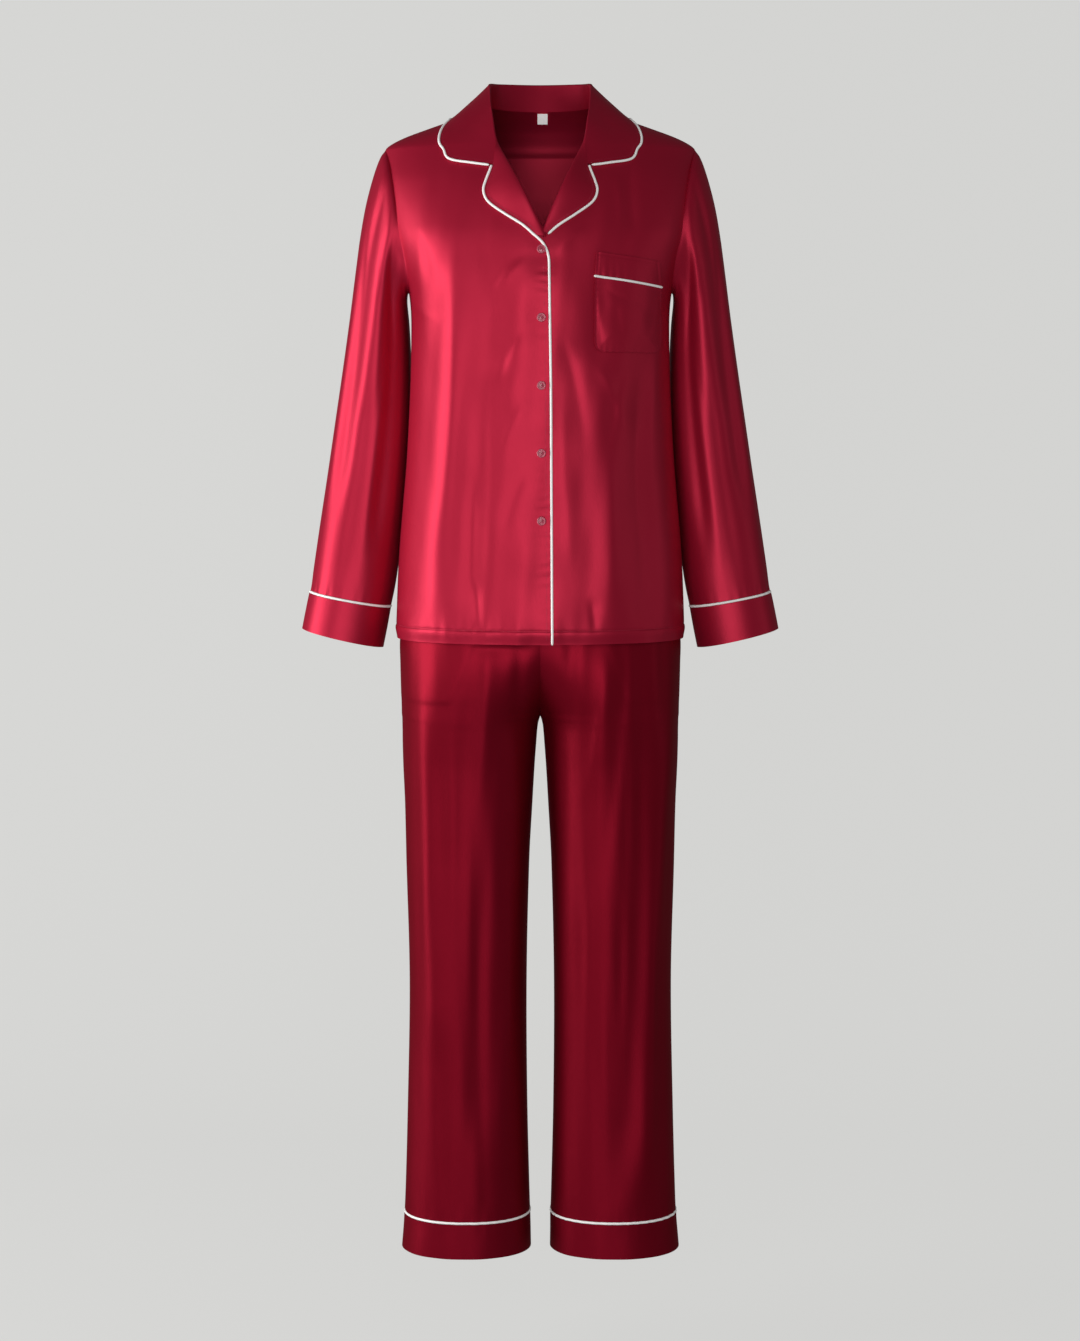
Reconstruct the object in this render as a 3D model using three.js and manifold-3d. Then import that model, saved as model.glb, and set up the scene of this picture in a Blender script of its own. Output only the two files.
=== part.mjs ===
// A piped satin pyjama set in its worn form with no wearer: a notch-collar shirt over straight trousers.
// Each piece that is cut and sewn on is a closed wall of cloth with its own name.
// Millimetres, +Z up, the front faces -Y.
// The origin lies between the shoulders, at the height where they bear the shirt.
import * as THREE from "three";
import { mergeVertices } from "three/addons/utils/BufferGeometryUtils.js";
import Module from "manifold-3d";

// Cloth, seams and piping
const WALL = 1.4;
const BAND_WALL = 2.4;
const SEAM_GAP = 0.3;
const PIPE_RADIUS = 1.6;
const PIPE_SIDES = 6;
const PIPE_SET = PIPE_RADIUS + SEAM_GAP;
// How far the middle of a piece lies over the middle of the panel below it
const LAID = 2.7;
const PIPE_LAID = 3;

// Heights
const NECK_Z = 44;
const SHOULDER_Z = -14;
const UNDERARM_Z = -200;
const BREAK_Z = -135.74;
const SHIRT_HEM_Z = -645;
const WAIST_TOP_Z = -455;
const WAIST_SEAM_Z = -487;
const CROTCH_Z = -749;
const LEG_PIPING_Z = -1389;
const LEG_HEM_Z = -1434.5;

// How many cells each kind of piece has
const SLEEVE_AROUND = 20;
const BACK_COLUMNS = 16;
const FRONT_COLUMNS = 9;
const LAPEL_ROWS = 9;
const LEG_COLUMNS = 8;
const CUFF_AROUND = 20;
const WAIST_AROUND = 32;

// Heights of the rows of each panel that lie on no armhole, from the top down
const NECK_ROWS = [41, 34, 26, 18, 10, 2, -7];
const LOWER_ROWS = [-232, -275, -330, -395, -470, -550, -620, SHIRT_HEM_Z];
const LEG_ROWS = [
  WAIST_SEAM_Z - SEAM_GAP / 2, -520, -560, -600, -645, -680, -710, -727, -738, -745,
  CROTCH_Z, -761, -781, -815, -870, -940, -1020, -1100, -1180, -1260, -1330, LEG_PIPING_Z + PIPE_SET,
];
// Further rows of the collar where it turns over the shoulder, and where its piping ends
const COLLAR_ROWS = [0.555, 0.62, 0.69];
const COLLAR_END_ROW = 0.965;
// Where the rows of turned cloth lie between the roll and the edge
const FALL_SHARES = [0.25, 0.5, 0.75];

const UPPER_SIDE = -1;
const UNDER_SIDE = 1;
const DEGREE = Math.PI / 180;
// Steps that measure which way a surface, the armhole and the neck seam run
const SURFACE_STEP = { turn: 0.01, rise: 0.8 };
const ARM_STEP = 0.02;
const NECK_STEP = 0.01;
const TINY = 1e-6;

const RED = { color: 0x9c1733, roughness: 0.35, metalness: 0 };
const RED_BUTTON = { color: 0xb0304a, roughness: 0.3, metalness: 0 };
const WHITE = { color: 0xf2efe9, roughness: 0.5, metalness: 0 };

// Shirt body: half width, depth to the front and back of the shoulder plane, and the section's roundness
const BODY = [
  { z: 44, half: 68, front: 12, back: 66, round: 2.0 },
  { z: 33.5, half: 92, front: 30, back: 82, round: 1.85 },
  { z: 23, half: 119, front: 46, back: 93, round: 1.78 },
  { z: 13, half: 147, front: 58, back: 99, round: 1.72 },
  { z: 2.6, half: 175, front: 68, back: 104, round: 1.68 },
  { z: -7, half: 194, front: 75, back: 107, round: 1.68 },
  { z: -14, half: 201, front: 80, back: 110, round: 1.7 },
  { z: -60, half: 205, front: 104, back: 118, round: 2.0 },
  { z: -120, half: 199, front: 126, back: 122, round: 2.2 },
  { z: -160, half: 184, front: 134, back: 123, round: 2.25 },
  { z: -200, half: 170, front: 138, back: 122, round: 2.3 },
  { z: -260, half: 167, front: 138, back: 119, round: 2.3 },
  { z: -400, half: 172, front: 133, back: 117, round: 2.3 },
  { z: -540, half: 183, front: 131, back: 120, round: 2.3 },
  { z: -645, half: 187, front: 130, back: 123, round: 2.3 },
];

// Soft folds of the shirt body. Angles run from 0 at the front centre to 180 at the back; positive is +X
const BODY_FOLDS = [
  { top: -120, bottom: -660, from: -38, to: -44, wide: 9, deep: 4.0 },
  { top: -170, bottom: -660, from: -24, to: -22, wide: 8, deep: -3.0 },
  { top: -60, bottom: -330, from: -26, to: -14, wide: 7, deep: -2.6 },
  { top: -40, bottom: -300, from: 34, to: 20, wide: 8, deep: -2.6 },
  { top: -250, bottom: -660, from: 20, to: 27, wide: 8, deep: 3.6 },
  { top: -230, bottom: -660, from: 48, to: 46, wide: 9, deep: -3.6 },
  { top: -60, bottom: -660, from: 140, to: 132, wide: 10, deep: 3.8 },
  { top: -60, bottom: -660, from: -142, to: -130, wide: 9, deep: 3.4 },
  { top: -150, bottom: -660, from: 166, to: 160, wide: 9, deep: -3.4 },
  { top: -110, bottom: -660, from: -164, to: -172, wide: 10, deep: -3.2 },
];

// Inner edge of each front: the neck seam, the roll line and the front edge, as distances outward from the
// centre
const NECK_SEAM = [
  { z: 44, out: 68 },
  { z: 30, out: 68 },
  { z: 16, out: 66 },
  { z: 2, out: 62.5 },
  { z: -14, out: 57.5 },
];
const UPPER_EDGE = [
  { z: SHOULDER_Z, out: 57.5 },
  { z: BREAK_Z, out: -3 },
  { z: -162, out: -9 },
  { z: -320, out: -11.3 },
  { z: SHIRT_HEM_Z, out: -13 },
];
const UNDER_EDGE = [
  { z: SHOULDER_Z, out: 57.5 },
  { z: BREAK_Z, out: 2.5 },
  { z: -162, out: -9 },
  { z: SHIRT_HEM_Z, out: -13 },
];
// A fold fades over these shares of its length
const FOLD_FADE = { start: 0.3, end: 0.15 };
// The upper front rises over the under one between these distances from the centre
const OVERLAP = { low: 18, high: 55, lift: 2.9 };

// Armhole: how far it cuts into the front and back, in degrees round the body
const ARMHOLE = { front: 26, back: 25, power: 0.9 };

// Sleeve rings: a point on the outer line and on the underarm line, the depth to front and back, how far
// the centre lies behind the side seams, and the share of the tube's own form against the armhole's.
// From the arm down the sleeve hangs a little behind the widest line of the body and just clear of it
const SLEEVE = [
  { outX: 206.5, outZ: -22, inX: 174, inZ: -196.6, front: 58, back: 56, mid: 0, tube: 0.25 },
  { outX: 214, outZ: -32, inX: 176, inZ: -200.5, front: 60, back: 58, mid: 3, tube: 0.45 },
  { outX: 221, outZ: -54, inX: 175.5, inZ: -207, front: 62, back: 62, mid: 8, tube: 0.7 },
  { outX: 229.5, outZ: -91, inX: 174.5, inZ: -215, front: 63, back: 66, mid: 14, tube: 0.9 },
  { outX: 236, outZ: -134, inX: 173, inZ: -226, front: 63, back: 67, mid: 20, tube: 1 },
  { outX: 242.5, outZ: -180, inX: 171.5, inZ: -246, front: 63, back: 67, mid: 27, tube: 1 },
  { outX: 249.5, outZ: -232, inX: 170, inZ: -282, front: 62, back: 66, mid: 32, tube: 1 },
  { outX: 258.5, outZ: -296, inX: 169.5, inZ: -330, front: 60, back: 64, mid: 34, tube: 1 },
  { outX: 268, outZ: -362, inX: 171.5, inZ: -388, front: 58, back: 61, mid: 34, tube: 1 },
  { outX: 277.5, outZ: -430, inX: 176, inZ: -452, front: 55, back: 57, mid: 31, tube: 1 },
  { outX: 287.5, outZ: -500, inX: 182.5, inZ: -520, front: 52, back: 53, mid: 26, tube: 1 },
  { outX: 294.5, outZ: -552, inX: 189, inZ: -571, front: 49, back: 50, mid: 20, tube: 1 },
  { outX: 299, outZ: -586, inX: 195.5, inZ: -605, front: 47, back: 48, mid: 17, tube: 1 },
];
const CUFF = [
  { outX: 300.3, outZ: -589.6, inX: 196.5, inZ: -608.6, front: 47.5, back: 48.5, mid: 17, tube: 1 },
  { outX: 305, outZ: -612.5, inX: 201, inZ: -634, front: 48, back: 49, mid: 15, tube: 1 },
  { outX: 309.3, outZ: -635.5, inX: 206, inZ: -659.5, front: 47, back: 48, mid: 13, tube: 1 },
];
const SLEEVE_ROUND = 2.15;

// Folds down the sleeve. Angles run from 0 on the outer line to 90 at the front; from and to are shares of
// the length
const SLEEVE_FOLDS = [
  { start: 0.1, end: 0.85, from: 62, to: 50, wide: 15, deep: -4.4 },
  { start: 0.06, end: 0.7, from: 96, to: 82, wide: 14, deep: 3.6 },
  { start: 0.1, end: 0.9, from: 118, to: 112, wide: 13, deep: -4.0 },
  { start: 0.1, end: 0.95, from: 230, to: 246, wide: 16, deep: -4.2 },
  { start: 0.1, end: 0.8, from: 288, to: 300, wide: 15, deep: -3.6 },
];

// Collar, from the back centre to the notch: the roll line, and the outer edge by its angle round the body
// and height.
// The first row mirrors the third, which keeps the curve level over the back centre
const COLLAR = [
  { s: -0.25, rollX: -52, rollY: 57, rollZ: 79.5, edgeTurn: 217, edgeZ: 16 },
  { s: 0, rollX: 0, rollY: 77, rollZ: 81, edgeTurn: 180, edgeZ: 15 },
  { s: 0.25, rollX: 52, rollY: 57, rollZ: 79.5, edgeTurn: 143, edgeZ: 16 },
  { s: 0.42, rollX: 65, rollY: 24, rollZ: 76, edgeTurn: 109, edgeZ: 22 },
  { s: 0.5, rollX: 66, rollY: 8, rollZ: 72, edgeTurn: 89, edgeZ: 25 },
  { s: 0.56, rollX: 65.6, rollY: -4, rollZ: 66, edgeTurn: 69, edgeZ: 20.5 },
  { s: 0.62, rollX: 65, rollY: -15, rollZ: 58, edgeTurn: 51.8, edgeZ: 6 },
  { s: 0.72, rollX: 63.5, rollY: -34, rollZ: 41, edgeTurn: 41.2, edgeZ: -15.5 },
  { s: 0.84, rollX: 60, rollY: -55, rollZ: 20, edgeTurn: 36.2, edgeZ: -31.5 },
  { s: 0.93, rollX: 57.4, rollY: -68, rollZ: 1.5, edgeTurn: 26.5, edgeZ: -38 },
  { s: 1, rollX: 54.4, rollY: -76, rollZ: -11.2, edgeTurn: 18.45, edgeZ: -41.5 },
];
// Lapel outer edge, from the notch to the break, by the share of the roll line
const LAPEL = [
  { r: 0, out: 58.8, z: -41.5 },
  { r: 0.17, out: 61.8, z: -50.5 },
  { r: 0.32, out: 67, z: -64.5 },
  { r: 0.44, out: 69.4, z: -76 },
  { r: 0.56, out: 64, z: -89 },
  { r: 0.72, out: 42, z: -106 },
  { r: 0.86, out: 20.5, z: -120.5 },
  { r: 1, out: 4, z: -135 },
];
// The under lapel ends above the break, where the upper one crosses it
const UNDER_LAPEL_END = 0.93;
// The turn of the cloth at the roll line: its radius, its start and its top's place past the front's edge, and
// which of a section's points the top is
const ROLL = { radius: 1.9, start: 0.6, reach: 3.9, rise: 1.5, top: 3 };
// How much higher a lapel stands midway down its roll line, and how much further past the edge it starts there
const LIFTED = { high: 9, start: 0.85 };
// The collar's cloth leans outward round the neck, and turns to lie on the front over this share of its way
const COLLAR_LYING = { from: 0.6, over: 0.4 };
// Between the collar and the lapels
const GORGE_GAP = 0.62;
// How far the pipings of the collar and the lapels stop short of the notch, as shares of those edges
const NOTCH_STOP = { collar: 0.995, lapel: 0.08 };
// Where the front piping crosses from the lapel's edge to the front edge: distance out, height and place
// over the body
const CROSSING = [
  { out: 0.2, z: -139.5, over: 5.8 },
  { out: -4.6, z: -143.5, over: 5.7 },
  { out: -8.3, z: -149.5, over: 4.6 },
];

// Chest pocket on the under front: outline corners as distance out and height
const POCKET = {
  inner: 66.5,
  outer: 152,
  topInner: -184,
  topOuter: -195,
  foot: -279,
  corner: 13,
  // The cloth's edge inside the piping's ends, how far the corners draw in, and its rows and columns
  inset: 1,
  tuck: 0.8,
  rows: 5,
  columns: 6,
};
const POCKET_BAND = { height: 31, inset: 3, rows: 2 };

// Trousers: each leg's centre, half width, depth to front and back, and roundness
const LEG = [
  { z: -455, centre: 0, half: 134, front: 97, back: 92, round: 2.1 },
  { z: -487, centre: 0, half: 138, front: 100, back: 96, round: 2.1 },
  { z: -545, centre: 0, half: 158, front: 107, back: 106, round: 2.2 },
  { z: -600, centre: 6, half: 168.5, front: 112, back: 113, round: 2.25 },
  { z: -645, centre: 36, half: 145.3, front: 110, back: 111, round: 2.3 },
  { z: -680, centre: 60, half: 121, front: 109, back: 113, round: 2.25 },
  { z: -710, centre: 76.5, half: 103.8, front: 105.5, back: 112, round: 2.2 },
  { z: -735, centre: 86.5, half: 93.1, front: 101.3, back: 108.8, round: 2.15 },
  { z: -745, centre: 89.1, half: 90.3, front: 99.6, back: 107.1, round: 2.15 },
  { z: -749, centre: 89.9, half: 89, front: 98.9, back: 106.4, round: 2.15 },
  { z: -757, centre: 90.9, half: 87.8, front: 97.4, back: 105, round: 2.15 },
  { z: -766, centre: 91.4, half: 87.1, front: 95.9, back: 103.5, round: 2.15 },
  { z: -780, centre: 91.9, half: 86.5, front: 93.6, back: 101.3, round: 2.15 },
  { z: -811, centre: 92.6, half: 84.9, front: 89, back: 97, round: 2.15 },
  { z: -860, centre: 92.9, half: 82.3, front: 84, back: 92, round: 2.15 },
  { z: -936, centre: 94, half: 79.3, front: 78, back: 86, round: 2.15 },
  { z: -1090, centre: 93.7, half: 75.6, front: 69, back: 75, round: 2.15 },
  { z: -1248, centre: 94.4, half: 77.2, front: 64, back: 69, round: 2.15 },
  { z: -1389, centre: 94.7, half: 80.9, front: 63, back: 66, round: 2.15 },
  { z: -1434.5, centre: 96, half: 83, front: 63.5, back: 65, round: 2.15 },
];
// Where the fronts or the backs meet in a deepening valley, the wall's edge is thickened by no more than the
// inverse of this
const STEEPEST_RISE = 0.5;
// Folds of each leg, named by side. Angles run from -90 at the inseam, 0 in front, 90 at the side seam, to
// 180 behind
const LEG_FOLDS = [
  { side: -1, top: -560, bottom: -1330, from: 8, to: -14, wide: 14, deep: -4.0 },
  { side: -1, top: -600, bottom: -1200, from: 42, to: 30, wide: 13, deep: 3.4 },
  { side: 1, top: -560, bottom: -1380, from: 30, to: 6, wide: 13, deep: -4.2 },
  { side: 1, top: -640, bottom: -1380, from: 56, to: 24, wide: 12, deep: 4.0 },
  { side: -1, top: -600, bottom: -1380, from: 165, to: 180, wide: 14, deep: -4.2 },
  { side: 1, top: -600, bottom: -1380, from: 170, to: 150, wide: 14, deep: -4.2 },
];

// Buttons
const BUTTON = {
  radius: 5.6,
  thick: 2.6,
  round: 0.65,
  rim: 1.1,
  dish: 0.8,
  hole: 0.75,
  holeOut: 1.5,
  holeSides: 6,
  segments: 14,
  count: 5,
  x: 1.2,
  top: -151.6,
  pitch: 84.6,
};
// A bare woven label, hung from the back neck seam
const LABEL = { width: 13.5, height: 11.6, thick: 1, x: 3, top: 0.8, gap: 1.1, cells: 2 };

const wasm = await Module();
wasm.setup();

// A smooth curve through a table's column, flat past both ends.
function smooth(rows, by, key) {
  const at = rows.map((row) => row[by]);
  const value = rows.map((row) => row[key]);
  const last = rows.length - 1;
  const slope = value.map((_, i) => {
    const a = Math.max(i - 1, 0);
    const b = Math.min(i + 1, last);
    return (value[b] - value[a]) / (at[b] - at[a]);
  });
  const up = at[last] > at[0] ? 1 : -1;
  return (x) => {
    if ((x - at[0]) * up <= 0) return value[0];
    if ((x - at[last]) * up >= 0) return value[last];
    let i = 0;
    while ((x - at[i + 1]) * up > 0) i += 1;
    const span = at[i + 1] - at[i];
    const t = (x - at[i]) / span;
    const t2 = t * t;
    const t3 = t2 * t;
    return (
      (2 * t3 - 3 * t2 + 1) * value[i] +
      (t3 - 2 * t2 + t) * span * slope[i] +
      (3 * t2 - 2 * t3) * value[i + 1] +
      (t3 - t2) * span * slope[i + 1]
    );
  };
}

// Straight lines through a column of a table whose heights run down.
function straight(rows, key) {
  return (z) => {
    const below = rows.findIndex((row) => row.z <= z);
    const next = below < 0 ? rows.length - 1 : Math.max(below, 1);
    const [upper, lower] = [rows[next - 1], rows[next]];
    return mix(upper[key], lower[key], (upper.z - z) / (upper.z - lower.z));
  };
}

function columns(rows, by) {
  const keys = Object.keys(rows[0]).filter((key) => key !== by);
  return Object.fromEntries(keys.map((key) => [key, smooth(rows, by, key)]));
}

function mix(a, b, t) {
  return a + (b - a) * t;
}

function between(a, b, t) {
  return a.clone().lerp(b, t);
}

function ease(t) {
  const u = Math.min(Math.max(t, 0), 1);
  return u * u * (3 - 2 * u);
}

function steps(count) {
  return Array.from({ length: count + 1 }, (_, i) => i / count);
}

const body = columns(BODY, "z");
const leg = columns(LEG, "z");
const collar = columns(COLLAR, "s");
const lapel = columns(LAPEL, "r");
const neckSeam = smooth(NECK_SEAM, "z", "out");
const frontEdge = {
  [UPPER_SIDE]: straight(UPPER_EDGE, "out"),
  [UNDER_SIDE]: straight(UNDER_EDGE, "out"),
};

// One fold's height at an angle and a place along it. It fades towards both ends.
function foldHeight(fold, angle, along) {
  if (along <= 0 || along >= 1) return 0;
  const centre = mix(fold.from, fold.to, along);
  const off = (((angle - centre + 180) % 360) + 360) % 360 - 180;
  const fade = ease(along / FOLD_FADE.start) * ease((1 - along) / FOLD_FADE.end);
  return fold.deep * fade * Math.exp(-((off / fold.wide) ** 2));
}

// A point of a rounded section. The angle is 0 at the front and a quarter turn at +X.
function sectionPoint(angle, centre, half, front, back, round, z) {
  const power = 2 / round;
  const s = Math.sin(angle);
  const c = Math.cos(angle);
  const depth = c > 0 ? front : back;
  return new THREE.Vector3(
    centre + half * Math.sign(s) * Math.abs(s) ** power,
    -depth * Math.sign(c) * Math.abs(c) ** power,
    z,
  );
}

// The outward normal of a surface given as a function of angle and height.
function normalOf(surface, angle, z) {
  const { turn, rise: step } = SURFACE_STEP;
  const around = surface(angle + turn, z).sub(surface(angle - turn, z));
  const up = surface(angle, z + step).sub(surface(angle, z - step));
  return around.cross(up).normalize();
}

function bodyForm(angle, z) {
  return sectionPoint(angle, 0, body.half(z), body.front(z), body.back(z), body.round(z), z);
}

// The summed height of long folds whose tables give their top and bottom.
function hungFolds(folds, angle, z) {
  return folds.reduce(
    (sum, fold) => sum + foldHeight(fold, angle / DEGREE, (fold.top - z) / (fold.top - fold.bottom)),
    0,
  );
}

function bodyMiddle(angle, z) {
  const folds = hungFolds(BODY_FOLDS, angle, z);
  const point = bodyForm(angle, z);
  return folds === 0 ? point : point.addScaledVector(normalOf(bodyForm, angle, z), folds);
}

// A place on the shirt body, at a height over the middle of its cloth.
function onBody(angle, z, over = 0) {
  const normal = normalOf(bodyMiddle, angle, z);
  return { at: bodyMiddle(angle, z).addScaledVector(normal, over), normal };
}

// The angle round the body of a distance from the centre plane, on the front.
function angleAt(x, z) {
  const share = Math.min(Math.abs(x) / body.half(z), 1);
  return Math.sign(x) * Math.asin(share ** (body.round(z) / 2));
}

// The rise of the upper front over the under one, by distance out from the centre.
function rise(side, out) {
  if (side !== UPPER_SIDE) return 0;
  return OVERLAP.lift * (1 - ease((out - OVERLAP.low) / (OVERLAP.high - OVERLAP.low)));
}

function onFront(side, out, z, over = 0) {
  return onBody(angleAt(side * out, z), z, over + rise(side, out));
}

// Moves a point outward until it lies at least that far over the shirt body.
function clearOfBody(point, over, side = 0) {
  if (point.z > NECK_Z) return point;
  const power = body.round(point.z) / 2;
  const depth = point.y < 0 ? body.front(point.z) : body.back(point.z);
  const s = Math.sign(point.x) * (Math.abs(point.x) / body.half(point.z)) ** power;
  const c = -Math.sign(point.y) * (Math.abs(point.y) / depth) ** power;
  const place = onBody(Math.atan2(s, c), point.z);
  const wanted = over + rise(side, Math.abs(point.x));
  const height = point.clone().sub(place.at).dot(place.normal);
  return height >= wanted ? point : place.at.addScaledVector(place.normal, wanted);
}

// Vertex normals of a grid of points. A ring's columns run round and meet.
function gridNormals(points, ring) {
  const rows = points.length;
  const wide = points[0].length;
  return points.map((row, i) =>
    row.map((_, j) => {
      const before = ring ? (j + wide - 1) % wide : Math.max(j - 1, 0);
      const after = ring ? (j + 1) % wide : Math.min(j + 1, wide - 1);
      const around = row[after].clone().sub(row[before]);
      const down = points[Math.min(i + 1, rows - 1)][j].clone().sub(points[Math.max(i - 1, 0)][j]);
      return down.cross(around).normalize();
    }),
  );
}

// A closed wall of cloth round a grid of points. A fan is one whose rows spread from one side, so each of its
// cells is split along the shorter diagonal.
function wall(points, { normals = null, ring = false, thick = WALL, fan = false } = {}) {
  const given = normals ?? gridNormals(points, ring);
  const rows = points.length;
  const wide = points[0].length;
  const position = [];
  [0.5, -0.5].forEach((share) =>
    points.forEach((row, i) =>
      row.forEach((point, j) =>
        position.push(...point.clone().addScaledVector(given[i][j], share * thick).toArray()),
      ),
    ),
  );
  const layer = rows * wide;
  const id = (i, j, inner) => inner * layer + i * wide + (j % wide);
  const index = [];
  const quad = (a, b, c, d) => index.push(a, b, c, a, c, d);
  const cells = ring ? wide : wide - 1;
  for (let i = 0; i < rows - 1; i += 1) {
    for (let j = 0; j < cells; j += 1) {
      const corners = [[i, j], [i + 1, j], [i + 1, j + 1], [i, j + 1]];
      if (fan && risesShorter(points, i, j)) corners.push(corners.shift());
      const [a, b, c, d] = corners;
      [[a, b, c, d], [a, d, c, b]].forEach((order, inner) =>
        quad(...order.map(([row, column]) => id(row, column, inner))),
      );
    }
  }
  for (let j = 0; j < cells; j += 1) {
    quad(id(0, j, 0), id(0, j + 1, 0), id(0, j + 1, 1), id(0, j, 1));
    quad(id(rows - 1, j, 0), id(rows - 1, j, 1), id(rows - 1, j + 1, 1), id(rows - 1, j + 1, 0));
  }
  for (let i = 0; !ring && i < rows - 1; i += 1) {
    quad(id(i, 0, 0), id(i, 0, 1), id(i + 1, 0, 1), id(i + 1, 0, 0));
    quad(id(i, wide - 1, 0), id(i + 1, wide - 1, 0), id(i + 1, wide - 1, 1), id(i, wide - 1, 1));
  }
  return closedGeometry(position, index);
}

function risesShorter(points, i, j) {
  const rising = points[i + 1][j].distanceTo(points[i][j + 1]);
  return rising < points[i][j].distanceTo(points[i + 1][j + 1]);
}

// A geometry whose faces point out, whichever way its grid runs.
function closedGeometry(position, index) {
  let volume = 0;
  const corner = (k) => new THREE.Vector3().fromArray(position, index[k] * 3);
  for (let k = 0; k < index.length; k += 3) {
    volume += corner(k).dot(corner(k + 1).cross(corner(k + 2)));
  }
  const faces = volume > 0 ? index : index.map((_, k) => index[k - (k % 3) + [0, 2, 1][k % 3]]);
  const geometry = new THREE.BufferGeometry();
  geometry.setAttribute("position", new THREE.Float32BufferAttribute(position, 3));
  geometry.setIndex(faces);
  return geometry;
}

// A round piping along a path of points, with flat ends or closed into a ring.
function piping(path, ring = false) {
  const position = [];
  const index = [];
  const count = path.length;
  path.forEach(({ at, normal }, i) => {
    const before = path[ring ? (i + count - 1) % count : Math.max(i - 1, 0)].at;
    const after = path[ring ? (i + 1) % count : Math.min(i + 1, count - 1)].at;
    const along = after.clone().sub(before).normalize();
    const across = along.clone().cross(normal).normalize();
    const out = across.clone().cross(along).normalize();
    for (let k = 0; k < PIPE_SIDES; k += 1) {
      const turn = ((k + 0.5) / PIPE_SIDES) * 2 * Math.PI;
      const point = at
        .clone()
        .addScaledVector(across, PIPE_RADIUS * Math.cos(turn))
        .addScaledVector(out, PIPE_RADIUS * Math.sin(turn));
      position.push(...point.toArray());
    }
  });
  const id = (i, k) => (i % count) * PIPE_SIDES + (k % PIPE_SIDES);
  for (let i = 0; i < (ring ? count : count - 1); i += 1) {
    for (let k = 0; k < PIPE_SIDES; k += 1) {
      index.push(id(i, k), id(i + 1, k), id(i + 1, k + 1), id(i, k), id(i + 1, k + 1), id(i, k + 1));
    }
  }
  for (let k = 1; !ring && k < PIPE_SIDES - 1; k += 1) {
    index.push(id(0, 0), id(0, k), id(0, k + 1));
    index.push(id(count - 1, 0), id(count - 1, k + 1), id(count - 1, k));
  }
  return closedGeometry(position, index);
}

const root = new THREE.Group();

function add(name, geometry, look) {
  const mesh = new THREE.Mesh(geometry, new THREE.MeshStandardMaterial(look));
  mesh.name = name;
  root.add(mesh);
}

// The armhole as a loop: 0 at the shoulder point, a quarter turn at the front, a half turn under the arm.
function armhole(side, turn) {
  const place = (t) => {
    const z = mix(UNDERARM_Z, SHOULDER_Z, (1 + Math.cos(t)) / 2);
    const reach = Math.abs(Math.sin(t)) ** ARMHOLE.power;
    const cut = Math.sin(t) > 0 ? -ARMHOLE.front * reach : ARMHOLE.back * reach;
    return { angle: side * (90 + cut) * DEGREE, z };
  };
  const { angle, z } = place(turn);
  const [before, after] = [place(turn - ARM_STEP), place(turn + ARM_STEP)];
  const tangent = bodyMiddle(after.angle, after.z).sub(bodyMiddle(before.angle, before.z));
  const { at, normal } = onBody(angle, z);
  const outward = normal.clone().cross(tangent).normalize().multiplyScalar(side);
  return { angle, z, at, normal, outward };
}

const armTurns = steps(SLEEVE_AROUND / 2).map((t) => t * Math.PI);
const armRows = armTurns.map((turn) => mix(UNDERARM_Z, SHOULDER_Z, (1 + Math.cos(turn)) / 2));

// A body panel's rows, from the top down, with the armhole turn where the row ends on the armhole.
function panelRows(top) {
  return [
    ...top.map((z) => ({ z })),
    ...armRows.map((z, i) => ({ z, turn: armTurns[i] })),
    ...LOWER_ROWS.map((z) => ({ z })),
  ];
}

// The panel's outer end of a row: on the side or shoulder seam, or on the armhole. Way is -1 in front, 1
// behind.
function outerEnd(side, row, way) {
  const angle = side * 90 * DEGREE;
  if (row.turn === undefined) {
    const { at, normal } = onBody(angle, row.z);
    at.y += (way * SEAM_GAP) / 2;
    return { angle, at, normal };
  }
  const seam = armhole(side, way < 0 ? row.turn : -row.turn);
  seam.at.addScaledVector(seam.outward, -SEAM_GAP / 2);
  const corner = row.turn < TINY || row.turn > Math.PI - TINY;
  if (corner) seam.at.y += (way * SEAM_GAP) / 2;
  return seam;
}

// The collar's outward direction at a share of its way: level round the neck, and off the front at the
// notch.
function collarOut(normal, s) {
  const lying = ease((s - COLLAR_LYING.from) / COLLAR_LYING.over);
  return new THREE.Vector3(normal.x, normal.y, normal.z * lying).normalize();
}

// The neck seam between the body and the collar. Its normal halves the angle between the two cloths.
function neckPlace(side, s) {
  const on = (share) => {
    if (share <= 0.5) return onBody(side * (1 - share) * Math.PI, NECK_Z);
    const z = mix(NECK_Z, SHOULDER_Z, (share - 0.5) * 2);
    return onBody(angleAt(side * neckSeam(z), z), z);
  };
  const { at, normal } = on(s);
  const tangent = on(Math.min(s + NECK_STEP, 1)).at.sub(on(s - NECK_STEP).at);
  const out = collarOut(normal, s);
  const halved = normal.clone().add(out).normalize();
  const away = tangent.cross(halved).normalize();
  if (away.z < 0) away.negate();
  return { at, normal: halved, out, away };
}

// The share of the collar's way at a front row's height.
function neckShare(z) {
  return 0.5 + (NECK_Z - z) / (NECK_Z - SHOULDER_Z) / 2;
}

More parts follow.
